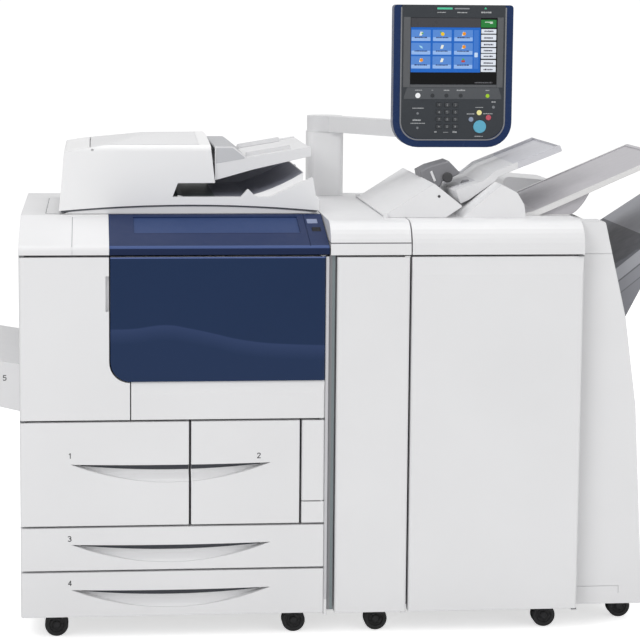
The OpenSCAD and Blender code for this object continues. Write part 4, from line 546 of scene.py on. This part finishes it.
# Each number is drawn as strokes in a box 0.6 wide and 1 high
strokes_of = {
    "0": [[(0, 0.2), (0, 0.8), (0.12, 1), (0.48, 1), (0.6, 0.8), (0.6, 0.2), (0.48, 0), (0.12, 0),
           (0, 0.2)]],
    "1": [[(0.12, 0.8), (0.34, 1), (0.34, 0)]],
    "2": [[(0, 0.8), (0.12, 0.97), (0.34, 1), (0.55, 0.9), (0.56, 0.66), (0, 0), (0.6, 0)]],
    "3": [[(0, 0.9), (0.18, 1), (0.44, 0.98), (0.57, 0.8), (0.52, 0.62), (0.26, 0.54)],
          [(0.26, 0.54), (0.56, 0.44), (0.6, 0.2), (0.44, 0.02), (0.16, 0), (0, 0.1)]],
    "4": [[(0.46, 0), (0.46, 1), (0, 0.3), (0.62, 0.3)]],
    "5": [[(0.56, 1), (0.08, 1), (0.04, 0.56), (0.34, 0.62), (0.58, 0.48), (0.6, 0.2), (0.44, 0.02),
           (0.14, 0), (0, 0.12)]],
    "6": [[(0.52, 0.95), (0.28, 1), (0.06, 0.72), (0, 0.3), (0.14, 0.02), (0.44, 0), (0.6, 0.2),
           (0.56, 0.46), (0.34, 0.58), (0.04, 0.44)]],
    "7": [[(0, 1), (0.6, 1), (0.24, 0)]],
    "8": [[(0.3, 0.54), (0.06, 0.66), (0.06, 0.88), (0.3, 1), (0.54, 0.88), (0.54, 0.66), (0.3, 0.54),
           (0.6, 0.36), (0.6, 0.14), (0.3, 0), (0, 0.14), (0, 0.36), (0.3, 0.54)]],
    "9": [[(0.08, 0.05), (0.32, 0), (0.54, 0.28), (0.6, 0.7), (0.46, 0.98), (0.16, 1), (0, 0.8),
           (0.04, 0.54), (0.26, 0.42), (0.56, 0.56)]],
    "*": [[(0.3, 0.2), (0.3, 0.8)], [(0.05, 0.35), (0.55, 0.65)], [(0.05, 0.65), (0.55, 0.35)]],
    "#": [[(0.16, 0.1), (0.22, 0.9)], [(0.4, 0.1), (0.46, 0.9)], [(0, 0.34), (0.6, 0.34)],
          [(0, 0.66), (0.6, 0.66)]]}


def add_number(form, sign, x, z, height, back, front, lay=at, weight=0.055):
    """Prints a keypad sign with its middle at x and z."""
    half = height * weight
    for stroke in strokes_of[sign]:
        line = [Vector((x + (u - 0.3) * height, z + (v - 0.5) * height)) for u, v in stroke]
        for a, b in zip(line, line[1:]):
            run = (b - a).normalized()
            side = Vector((run.y, -run.x)) * half
            first, last = a - run * half * 0.6, b + run * half * 0.6
            around = [first + side, last + side, last - side, first - side]
            add_slab(form, [tuple(corner) for corner in around], back, front, 0, lay)


number_height, bold = 11, 0.085
for mark, mark_x, mark_z in (("1", 112, 429), ("2", 534, 425), ("3", 110, 240), ("4", 110, 138)):
    number = bmesh.new()
    add_number(number, mark, mark_x, mark_z, number_height, 0.02, -0.12, weight=bold)
    finished(f"drawer_{mark}_number", number, print_grey, f"drawer_{mark}")
number = bmesh.new()
add_number(number, "5", -35, 591, number_height, 90.02, 89.88, weight=bold)
finished("bypass_number", number, print_grey, "cabinets")

# Painted shadow in the drawer handles
# A dark strip at the back of each scooped handle, under its upper lip, is painted shadow: the shade that
# the lip casts. Drawers 1 and 2 share one handle, which is split at their joint.

handle_shadow_paint = finish_of("handle_painted_shadow", shade_of(58, 61, 68), 0.5, grain=0.2)
handle_x, handle_w, lens_steps, side_gap = 113, 448, 24, 0.4
for drawer, lip_z in (("drawer_1", 409), ("drawer_2", 409), ("drawer_3", 226), ("drawer_4", 122)):
    low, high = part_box(f"{drawer}_front")
    left = max(handle_x + handle_w * 0.05, low.x * 1000 + origin_x + side_gap)
    right = min(handle_x + handle_w * 0.95, high.x * 1000 + origin_x - side_gap)
    lens = []
    for step in range(lens_steps + 1):
        x = left + (right - left) * step / lens_steps
        share = (x - handle_x) / handle_w
        bulge = 4 * share * (1 - share)
        lens.append((x, lip_z - 3 * bulge - 0.4, lip_z - 4.4 - 13 * bulge))
    shadow_strip = bmesh.new()
    outline = [(x, foot) for x, _, foot in lens] + [(x, top) for x, top, _ in lens[::-1]]
    add_slab(shadow_strip, outline, 20.4, 19.4)
    finished(f"{drawer}_handle_painted_shadow", shadow_strip, handle_shadow_paint, drawer)

# Document feeder
# White covers over a dark grey curved bed, which the originals slide out on,
# and a light grey hood over the rollers that take them in.

bed_grey = shade_of(158, 160, 172)
# The feeder's white is a lighter copy of the covers' white: painted light on its set-back front
feeder_paint_with_painted_light_and_shade = moulded("feeder_plastic_with_painted_light_and_shade", (0.88, 0.88, 0.885))
# The left end of the bed, inside the output slot, is painted darker: painted shade
repaint_inside(feeder_paint_with_painted_light_and_shade, (347, 216, 984), (446, 634, 1100), shade_of(104, 112, 115))
repaint_inside(feeder_paint_with_painted_light_and_shade, (446, 216, 984), (649, 634, 1046), bed_grey)
dress(feeder_paint_with_painted_light_and_shade, "feeder_body")
tray_white = moulded("document_tray_plastic")
repaint_inside(tray_white, (440, 222, 1040), (520, 616, 1120), shade_of(186, 187, 190))
dress(tray_white, "document_tray")
guide_grey = finish_of("paper_guide_plastic", (0.72, 0.72, 0.73), 0.45, grain=0.2, grain_size=900)
dress(guide_grey, "front_paper_guide", "rear_paper_guide")
rear_wall = bmesh.new()
add_slab(rear_wall, [(447, 984), (600, 984), (648, 1040), (648, 1081), (535, 1055), (447, 1029.5)],
         614, 604, 1.5)
finished("feeder_rear_wall", rear_wall, finish_of("bed_plastic", bed_grey, 0.45, grain=0.2),
         "document_feeder")

# The lid's foot is arched, with a dark strip along it that is painted shadow of the gap under the lid, and
# a white skirt below
shadow_under_lid = bmesh.new()
arch_steps = 24
arch = []
for k in range(arch_steps + 1):
    share = k / arch_steps
    arch.append((92 + 590 * k / arch_steps, 958 + 14 * 4 * k / arch_steps * (1 - share)))
add_slab(shadow_under_lid, [(x, z - 3.6) for x, z in arch] + [(x, z + 0.6) for x, z in arch[::-1]], 216, 202.5, 0.6)
finished("feeder_lid_painted_shadow", shadow_under_lid, finish_of("lid_gap_painted_shadow", shade_of(84, 86, 92), 0.7, grain=0.4, grain_size=500),
         "document_feeder")
pad_skirt = bmesh.new()
skirt_left, skirt_right, skirt_foot = 96, 680, 951
skirt_top = [(x, z - 3) for x, z in arch[::-1] if skirt_left < x < skirt_right]
add_slab(pad_skirt, [(skirt_left, skirt_foot), (skirt_right, skirt_foot)] + skirt_top, 216, 205, 0.6)
finished("pad_skirt", pad_skirt, white_shell, "document_feeder")
hood_plate = bmesh.new()
add_slab(hood_plate, [(448, 1066), (514, 1077.5), (514, 1081), (487, 1102), (448, 1102)], 215.6, 214.5,
         0.4)
finished("hood_side_plate", hood_plate, finish_of("hood_plastic", shade_of(198, 199, 202), 0.42, grain=0.2),
         "document_feeder")

# Scale plate of the platen glass
# A white moulded plate screwed down on the left edge of the glass, against
# which an original is laid.

scale_plate = bmesh.new()
add_slab(scale_plate, [(58, 949.8), (98, 949.8), (98, 951), (58, 951)], 620, 224, 0.4)
finished("scale_plate", scale_plate, white_shell, "cabinets")

# Insert tray, output tray and stacker tray
# Satin grey plastic trays. The insert tray ends in an extension of a greyer tone, and the stacker tray is
# dark, with its ribs drawn as stripes of painted light and shade.

insert_white = moulded("insert_tray_plastic", (0.74, 0.74, 0.75), 0.45)
repaint_inside(insert_white, (1150, 180, 1000), (1270, 520, 1200), shade_of(205, 205, 210))
dress(insert_white, "insert_tray")
output_white = moulded("output_tray_plastic", (0.74, 0.735, 0.73), 0.45)
repaint_inside(output_white, (1150, 158, 952), (1500, 512, 1120), shade_of(188, 186, 190))
dress(output_white, "top_output_tray")
stacker_painted_rib_light = finish_of("stacker_with_painted_rib_light", (0.20, 0.205, 0.225), 0.5, grain=0.3, grain_size=700)
tray_tree = stacker_painted_rib_light.node_tree
tray_place = next(n for n in tray_tree.nodes if n.type == "TEX_COORD")
tray_split = tray_tree.nodes.new("ShaderNodeSeparateXYZ")
tray_tree.links.new(tray_place.outputs["Object"], tray_split.inputs[0])
tray_slant = tray_tree.nodes.new("ShaderNodeMath")
tray_slant.operation = "MULTIPLY_ADD"
tray_slant.inputs[1].default_value = -0.8
tray_tree.links.new(tray_split.outputs[0], tray_slant.inputs[0])
tray_tree.links.new(tray_split.outputs[2], tray_slant.inputs[2])
# Where each band of painted rib light or shade starts along the slant, in metres, and its grey level
bands = [(0.12, 134), (0.2196, 108), (0.2226, 140), (0.2496, 104), (0.2546, 160), (0.2868, 94),
         (0.3096, 186), (0.3339, 104), (0.3786, 152), (0.3898, 88), (0.4305, 112)]
bands_start, bands_length = 0.12, 0.36
tray_bands = tray_tree.nodes.new("ShaderNodeMapRange")
tray_bands.inputs["From Min"].default_value = bands_start
tray_bands.inputs["From Max"].default_value = bands_start + bands_length
tray_tree.links.new(tray_slant.outputs[0], tray_bands.inputs["Value"])
tray_ramp = tray_tree.nodes.new("ShaderNodeValToRGB")
tray_ramp.color_ramp.interpolation = "CONSTANT"
for start, _ in bands[2:]:
    tray_ramp.color_ramp.elements.new((start - bands_start) / bands_length)
for element, (start, level) in zip(tray_ramp.color_ramp.elements, bands):
    element.position = (start - bands_start) / bands_length
    element.color = (*shade_of(level, level + 1, level + 7), 1)
tray_tree.links.new(tray_bands.outputs["Result"], tray_ramp.inputs["Fac"])
tray_tree.links.new(tray_ramp.outputs["Color"], tray_tree.nodes["Principled BSDF"].inputs["Base Color"])
dress(stacker_painted_rib_light, "stacker_tray")

# Pick-up unit of the insert tray
# A dark grey moulded holder with two rubber rollers and a lighter paper stop,
# hinged with the head. It pulls the inserted sheets in.

pickup_grey = finish_of("pickup_unit_plastic", shade_of(128, 128, 132), 0.45, grain=0.3)
pickup = bmesh.new()
add_slab(pickup, [(940, 1026), (972, 1001), (986, 1004), (992, 1017), (1025, 1031), (1034, 1038),
                  (1006, 1066), (960, 1053), (937, 1041)], 388, 300, 3)
finished("pickup_holder", pickup, pickup_grey, "insert_head")
pickup_rollers = bmesh.new()
for near in (304, 350):
    add_slab(pickup_rollers, disc(1003, 1027, 12), near + 26, near - 12, 1.5)
finished("pickup_rollers", pickup_rollers, soft_rubber, "insert_head")
pickup_lip = bmesh.new()
add_slab(pickup_lip, [(961, 1040), (971, 1017), (976, 1019), (966, 1043)], 302, 296, 1)
finished("pickup_lip", pickup_lip, white_shell, "insert_head")
separator = bmesh.new()
add_slab(separator, [(1012, 1000), (1084, 1021), (1084, 1025), (1012, 1004)], 420, 290, 1)
finished("separator_plate", separator,
         finish_of("separator_plastic", shade_of(196, 196, 200), 0.42, grain=0.2), "cabinets")
separator_latch = bmesh.new()
add_slab(separator_latch, [(1038, 1010), (1058, 1016), (1057, 1020), (1044, 1018)], 330, 312, 1)
finished("separator_latch", separator_latch, pickup_grey, "cabinets")
tray_catch = bmesh.new()
add_slab(tray_catch, [(1180, 1068), (1190, 1071.5), (1189, 1074.5), (1180, 1072)], 425, 400, 0.8)
finished("insert_tray_catch", tray_catch, print_grey, "cabinets")
head_button = bmesh.new()
add_slab(head_button, disc(952, 999, 3.2), 107.2, 105.8, 0.4)
finished("head_button", head_button, print_grey, "insert_head")

# Control panel
# A charcoal bezel with a touch screen, lamps and keys in the deep blue shell,
# with a thin silver trim along the sides and the foot.

bezel_grey = finish_of("dark_bezel_plastic", shade_of(54, 58, 63), 0.42, grain=0.2, gloss_level=0.35)
dress(bezel_grey, "panel_bezel")
screen_black = finish_of("screen_glass", (0.002, 0.002, 0.0025), 0.15, tint=0.02, round_edge=0.0003,
                         gloss_level=0.3)
dress(screen_black, "panel_screen")
key_plastic = finish_of("key_plastic", shade_of(58, 61, 65), 0.4, round_edge=0.0008)
dress(key_plastic, "number_keys")
start_blue = finish_of("start_button", shade_of(96, 176, 204), 0.3, coat=0.1)
dress(start_blue, "start_button")
stop_red = finish_of("stop_button", shade_of(196, 84, 100), 0.35)
dress(stop_red, "stop_button")


panel_x = 1030


def on_panel(dx, y, z):
    """A place on the control panel, with dx counted from the panel's middle."""
    return at(panel_x + dx, y, z)


def lit(name, *code):
    """A colour that the screen or a lamp shows, half of it by its own light."""
    return finish_of(name, shade_of(*code), 0.3, tint=0.01, round_edge=0.0001, gloss_level=0.2, glow=0.45)


def panel_piece(name, paint, slabs, layer, lip=0.0):
    """One piece of several flat slabs, in a layer that runs from its back to its front."""
    form = bmesh.new()
    for outline in slabs:
        add_slab(form, outline, *layer, lip, on_panel)
    finished(name, form, paint, "control_panel")


def bar(x0, z0, x1, z1, r=0.4):
    """Outline of a small bar with round corners."""
    return rounded(x0, z0, x1, z1, r, 3)


def strokes(x0, x1, z, height, seed):
    """Short strokes in a row, in place of a caption."""
    draw = random.Random(seed)
    out = []
    x = x0
    while x < x1 - 1.2:
        end = min(x1, x + draw.uniform(1.6, 5.2))
        out.append(bar(x, z, end, z + height * draw.uniform(0.75, 1), 0.3))
        x = end + draw.uniform(0.5, 1.0)
    return out


# Layers of the screen and the bezel, each from its back to its front
field_layer, box_layer = (400.3, 400.12), (400.3, 400.1)
tile_layer, tab_layer, tile_foot_layer = (400.15, 400.02), (400.15, 400.04), (400.06, 399.97)
knob_layer, caption_layer, icon_layer = (400.05, 399.95), (400, 399.92), (400, 399.93)
sun_layer, top_layer = (400, 399.9), (399.97, 399.88)
surround_layer, ledge_layer, lamp_layer = (399.9, 399.45), (399.9, 399.3), (399.9, 399.4)
button_layer, print_layer = (399.9, 398.7), (399.5, 399.15)

columns = [(-102.4, -55.8), (-50.5, -4.9), (1.2, 47.0)]
rows = [(1347, 1374.2), (1314.6, 1343), (1281.2, 1310.8)]
panel_piece("screen_top_band", lit("band_grey", 70, 70, 74), [bar(-103.5, 1380.4, 65.6, 1402.4)],
            field_layer)
panel_piece("screen_field", lit("field_blue", 36, 104, 196), [bar(-103.5, 1272.4, 65.6, 1380)],
            field_layer)
panel_piece("screen_tiles_upper", lit("tile_blue", 90, 140, 214),
            [bar(a, z0, b, z1, 1.2) for a, b in columns for z0, z1 in rows], tile_layer, lip=0.06)
panel_piece("screen_tiles_lower", lit("tile_light", 150, 186, 238),
            [bar(a + 0.6, z0 + 0.6, b - 0.6, z0 + 9.4, 1) for a, b in columns for z0, z1 in rows],
            tile_foot_layer)
panel_piece("screen_captions", lit("caption_ink", 52, 70, 120),
            [s for i, (a, b) in enumerate(columns) for j, (z0, z1) in enumerate(rows)
             for s in strokes(a + 8, b - 8, z0 + 7.4, 3.2, 10 * i + j)], caption_layer)
icons = {(0, 2): "sheet_lime", (1, 2): "sun", (2, 2): "globe", (0, 1): "sky", (1, 1): "sheet",
         (2, 1): "globe", (0, 0): "globe", (1, 0): "sheet", (2, 0): "mark"}
sheets, yellows, oranges, greens, skies, reds = [], [], [], [], [], []
for (i, j), kind in icons.items():
    mid = sum(columns[i]) / 2
    top = rows[2 - j][1] - 9.5
    if kind in ("sheet", "sheet_lime", "globe"):
        sheets.append([(mid - 4.2, top - 4.6), (mid + 1.8, top - 4.2), (mid + 4.4, top + 4.2),
                       (mid - 1.6, top + 5)])
    if kind == "sheet_lime":
        greens.append(bar(mid + 0.5, top - 0.5, mid + 6, top + 2.6, 1.2))
    if kind == "sun":
        yellows.append(disc(mid + 1, top - 0.5, 4.6, 12))
        greens.append(bar(mid - 5.5, top + 2.4, mid - 1.8, top + 5.6, 0.8))
    if kind == "globe":
        oranges.append(disc(mid + 1.6, top + 0.4, 4.2, 14))
    if kind == "sky":
        skies.append([(mid - 4.5, top + 3.6), (mid - 2.4, top - 0.8), (mid + 4.6, top - 5),
                      (mid + 3, top + 1)])
    if kind == "mark":
        reds.append(bar(mid - 4.5, top - 4.4, mid + 4.5, top + 0.4, 1.6))
        greens.append(bar(mid - 3, top + 1, mid + 3, top + 4.4, 1.2))
panel_piece("icon_sheets", lit("icon_white", 238, 240, 226), sheets, icon_layer)
panel_piece("icon_suns", lit("icon_yellow", 240, 200, 40), yellows, sun_layer)
panel_piece("icon_globes", lit("icon_orange", 238, 150, 30), oranges, top_layer)
panel_piece("icon_leaves", lit("icon_green", 90, 170, 60), greens, top_layer)
panel_piece("icon_skies", lit("icon_sky", 160, 214, 236), skies, icon_layer)
panel_piece("icon_marks", lit("icon_red", 190, 70, 50), reds, icon_layer)
panel_piece("screen_scroll_strip", lit("strip_blue", 66, 122, 206), [bar(49.6, 1281.2, 61.2, 1374.2, 1)],
            tile_layer)
panel_piece("screen_scroll_knob", lit("knob_white", 200, 222, 248), [bar(51.4, 1309, 59.4, 1320, 1.6)],
            knob_layer)
boxes = [(1365.9, 1376.6), (1349.8, 1363.2), (1333.8, 1346), (1319.4, 1331), (1305.8, 1317.4),
         (1289.6, 1302.6), (1273.9, 1286.8)]
panel_piece("screen_boxes", lit("box_white", 226, 232, 242),
            [bar(67.4, a, 103.8, b, 1) for a, b in boxes], box_layer)
panel_piece("screen_box_captions", lit("box_ink", 70, 66, 80),
            [s for i, (a, b) in enumerate(boxes) for s in strokes(74, 97, a + 4, 3.6, 200 + i)],
            tile_layer)
panel_piece("screen_green_tab", lit("tab_green", 44, 128, 62), [bar(66.4, 1380.4, 103.8, 1399)],
            box_layer)
panel_piece("screen_tab_caption", lit("tab_ink", 210, 226, 212),
            strokes(76, 96, 1392, 3, 7) + [bar(88, 1389.6, 95, 1394)], tab_layer)
panel_piece("screen_foot_caption", lit("foot_ink", 96, 96, 100), strokes(53, 96, 1246.4, 3.6, 31),
            field_layer)

# Bezel relief, lamps and printed captions
# A lighter ledge below the screen and a darker band above it, small round
# buttons, and captions printed in pale grey strokes.

frame_grey = finish_of("screen_surround", shade_of(88, 90, 93), 0.42, grain=0.2)
panel_piece("screen_surround", frame_grey,
            [bar(-121.5, 1236.5, -104.6, 1404.5), bar(106.6, 1236.5, 121.5, 1404.5),
             bar(-104.2, 1236.5, 106.2, 1242.6)], surround_layer, 0.2)
panel_piece("bezel_ledge", finish_of("bezel_ledge", shade_of(78, 81, 85), 0.42, grain=0.2),
            [[(-119, 1208), (119, 1208), (119, 1214), (111.5, 1236), (-111.5, 1236), (-119, 1214)]],
            ledge_layer, 0.3)
panel_piece("lamp_green_bar", lit("lamp_green", 90, 200, 160), [bar(-40.8, 1423, -3.6, 1427.6, 1)],
            ledge_layer, lip=0.2)
panel_piece("lamp_grey_bar", lit("lamp_grey", 140, 144, 148), [bar(1.4, 1423.6, 37.6, 1426.8, 1)],
            ledge_layer, lip=0.2)
panel_piece("lamp_triangle", lit("lamp_mint", 80, 200, 150),
            [[(73.4, 1424.2), (80, 1424.2), (76.7, 1429)]], lamp_layer)
# The wake, power saver, interrupt and help keys take the half glow of the lit colours: a painted glow,
# though they are no lamps
round_marks = {
    "wake_button": (lit("button_white", 242, 243, 244), [(-85, 1216.6, 6.3)]),
    "mode_buttons": (finish_of("button_dark", shade_of(46, 49, 53), 0.35),
                     [(-49.5, 1216.6, 5), (-15.4, 1216.6, 5), (19.4, 1216.6, 5)]),
    "power_saver": (lit("button_lime", 164, 206, 50), [(85, 1216.2, 4.7)]),
    "interrupt_button": (lit("button_cream", 240, 232, 160), [(65.4, 1175.8, 6.2)]),
    "help_button": (lit("button_steel", 142, 154, 176), [(45.6, 1159.6, 5.8)]),
    "side_buttons": (finish_of("button_small", shade_of(128, 131, 135), 0.4),
                     [(-85, 1173.6, 3), (-85, 1138.6, 3), (100, 1189, 3.6)])}
for mark_name, (mark_paint, spots) in round_marks.items():
    panel_piece(mark_name, mark_paint, [disc(x, z, r) for x, z, r in spots], button_layer, 0.5)
caption_white = finish_of("caption_white", shade_of(176, 178, 180), 0.5, round_edge=0.0001)
# Each caption's left and right end, its foot and its height
captions = [(-92, -75, 1228.6, 2.2), (-52, -48, 1229, 1.6), (-22, -8, 1228.2, 2.8), (9.6, 30, 1228, 3.6),
            (80, 90, 1228.4, 2.6), (95, 105, 1200.2, 3.2), (-98, -70, 1185.2, 2.4), (-97, -77, 1155.6, 4.2),
            (-102, -66, 1148.8, 2.2), (35, 55, 1171.4, 3), (56, 76, 1187.6, 1.8), (75, 98, 1172.2, 2.4),
            (55, 75, 1117.4, 2.2), (-41, -20, 1415, 2), (8, 32, 1414.6, 2.6), (66, 92, 1414.6, 4),
            (-44, -38, 1127.6, 3), (-22, -10, 1127.6, 1.6), (1, 12, 1126.8, 4.6)]
panel_piece("bezel_captions", caption_white,
            [s for i, caption in enumerate(captions) for s in strokes(*caption, 41 + i)],
            print_layer)
digits = bmesh.new()
key_x, key_z, key_pitch_x, key_pitch_z = -33, 1142, 20, 17.5
for k, sign in enumerate("*0#789456123"):
    add_number(digits, sign, key_x + key_pitch_x * (k % 3), key_z + key_pitch_z * (k // 3), 5.4,
               398.3, 398.06, on_panel)
finished("keypad_digits", digits, caption_white, "number_keys")


shell_half, shell_foot, shell_round, trim_top = 145, 1092, 62, 1428


def trim_path(inset):
    """Left side, foot and right side of the line that lies inset from the shell's outline."""
    side, foot, r = shell_half - inset, shell_foot + inset, shell_round - inset
    left = [(-side + r - r * math.cos(math.radians(a)), foot + r - r * math.sin(math.radians(a)))
            for a in range(0, 91, 6)]
    return [(-side, trim_top)] + left + [(-x, z) for x, z in left[::-1]] + [(side, trim_top)]


silver = finish_of("silver_trim", (0.26, 0.265, 0.28), 0.35, metal=0.5, round_edge=0.0003)
trim = bmesh.new()
outer_line, inner_line = trim_path(16.4), trim_path(19.6)
for k in range(len(outer_line) - 1):
    add_slab(trim, [outer_line[k], outer_line[k + 1], inner_line[k + 1], inner_line[k]], 400.4, 399.1, 0,
             on_panel)
bmesh.ops.remove_doubles(trim, verts=trim.verts, dist=0.00002)
finished("panel_trim", trim, silver, "control_panel")

# Arm and post
# Smooth painted castings that carry the control panel.

arm_paint = finish_of("arm_paint", (0.80, 0.80, 0.81), 0.4, grain=0.1)
dress(arm_paint, "panel_arm")
# The post is painted lighter than the covers' white: painted light, since it stands in shade
post_paint_with_painted_light = finish_of("post_paint_with_painted_light", (0.92, 0.92, 0.925), 0.4, grain=0.1)
dress(post_paint_with_painted_light, "panel_post")

# Casters
# Black nylon forks with rubber tyred wheels. A nylon cap with a ring of studs
# closes each axle.

caster_black = finish_of("caster_nylon", (0.012, 0.012, 0.014), 0.45, grain=0.3)
tyre_black = finish_of("caster_tyre", (0.02, 0.02, 0.021), 0.68, grain=0.5, grain_size=500)
stud_count, stud_ring = 5, 13.5
for i in range(1, 6):
    dress(caster_black, f"caster_fork_{i}")
    dress(tyre_black, f"caster_wheel_{i}")
    low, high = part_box(f"caster_wheel_{i}")
    hub_x, hub_z = (low.x + high.x) * 500 + origin_x, (low.z + high.z) * 500
    face = low.y * 1000 + origin_y
    cap = bmesh.new()
    add_slab(cap, disc(hub_x, hub_z, 6.5, 20), face + 1, face - 0.6, 0.5)
    for turn in range(stud_count):
        angle = math.tau * turn / stud_count
        stud = disc(hub_x + stud_ring * math.cos(angle), hub_z + stud_ring * math.sin(angle), 2.2, 12)
        add_slab(cap, stud, face + 1, face - 0.3, 0.3)
    finished(f"caster_cap_{i}", cap, caster_black, f"caster_wheel_{i}")
dress(tyre_black, "rear_wheels")
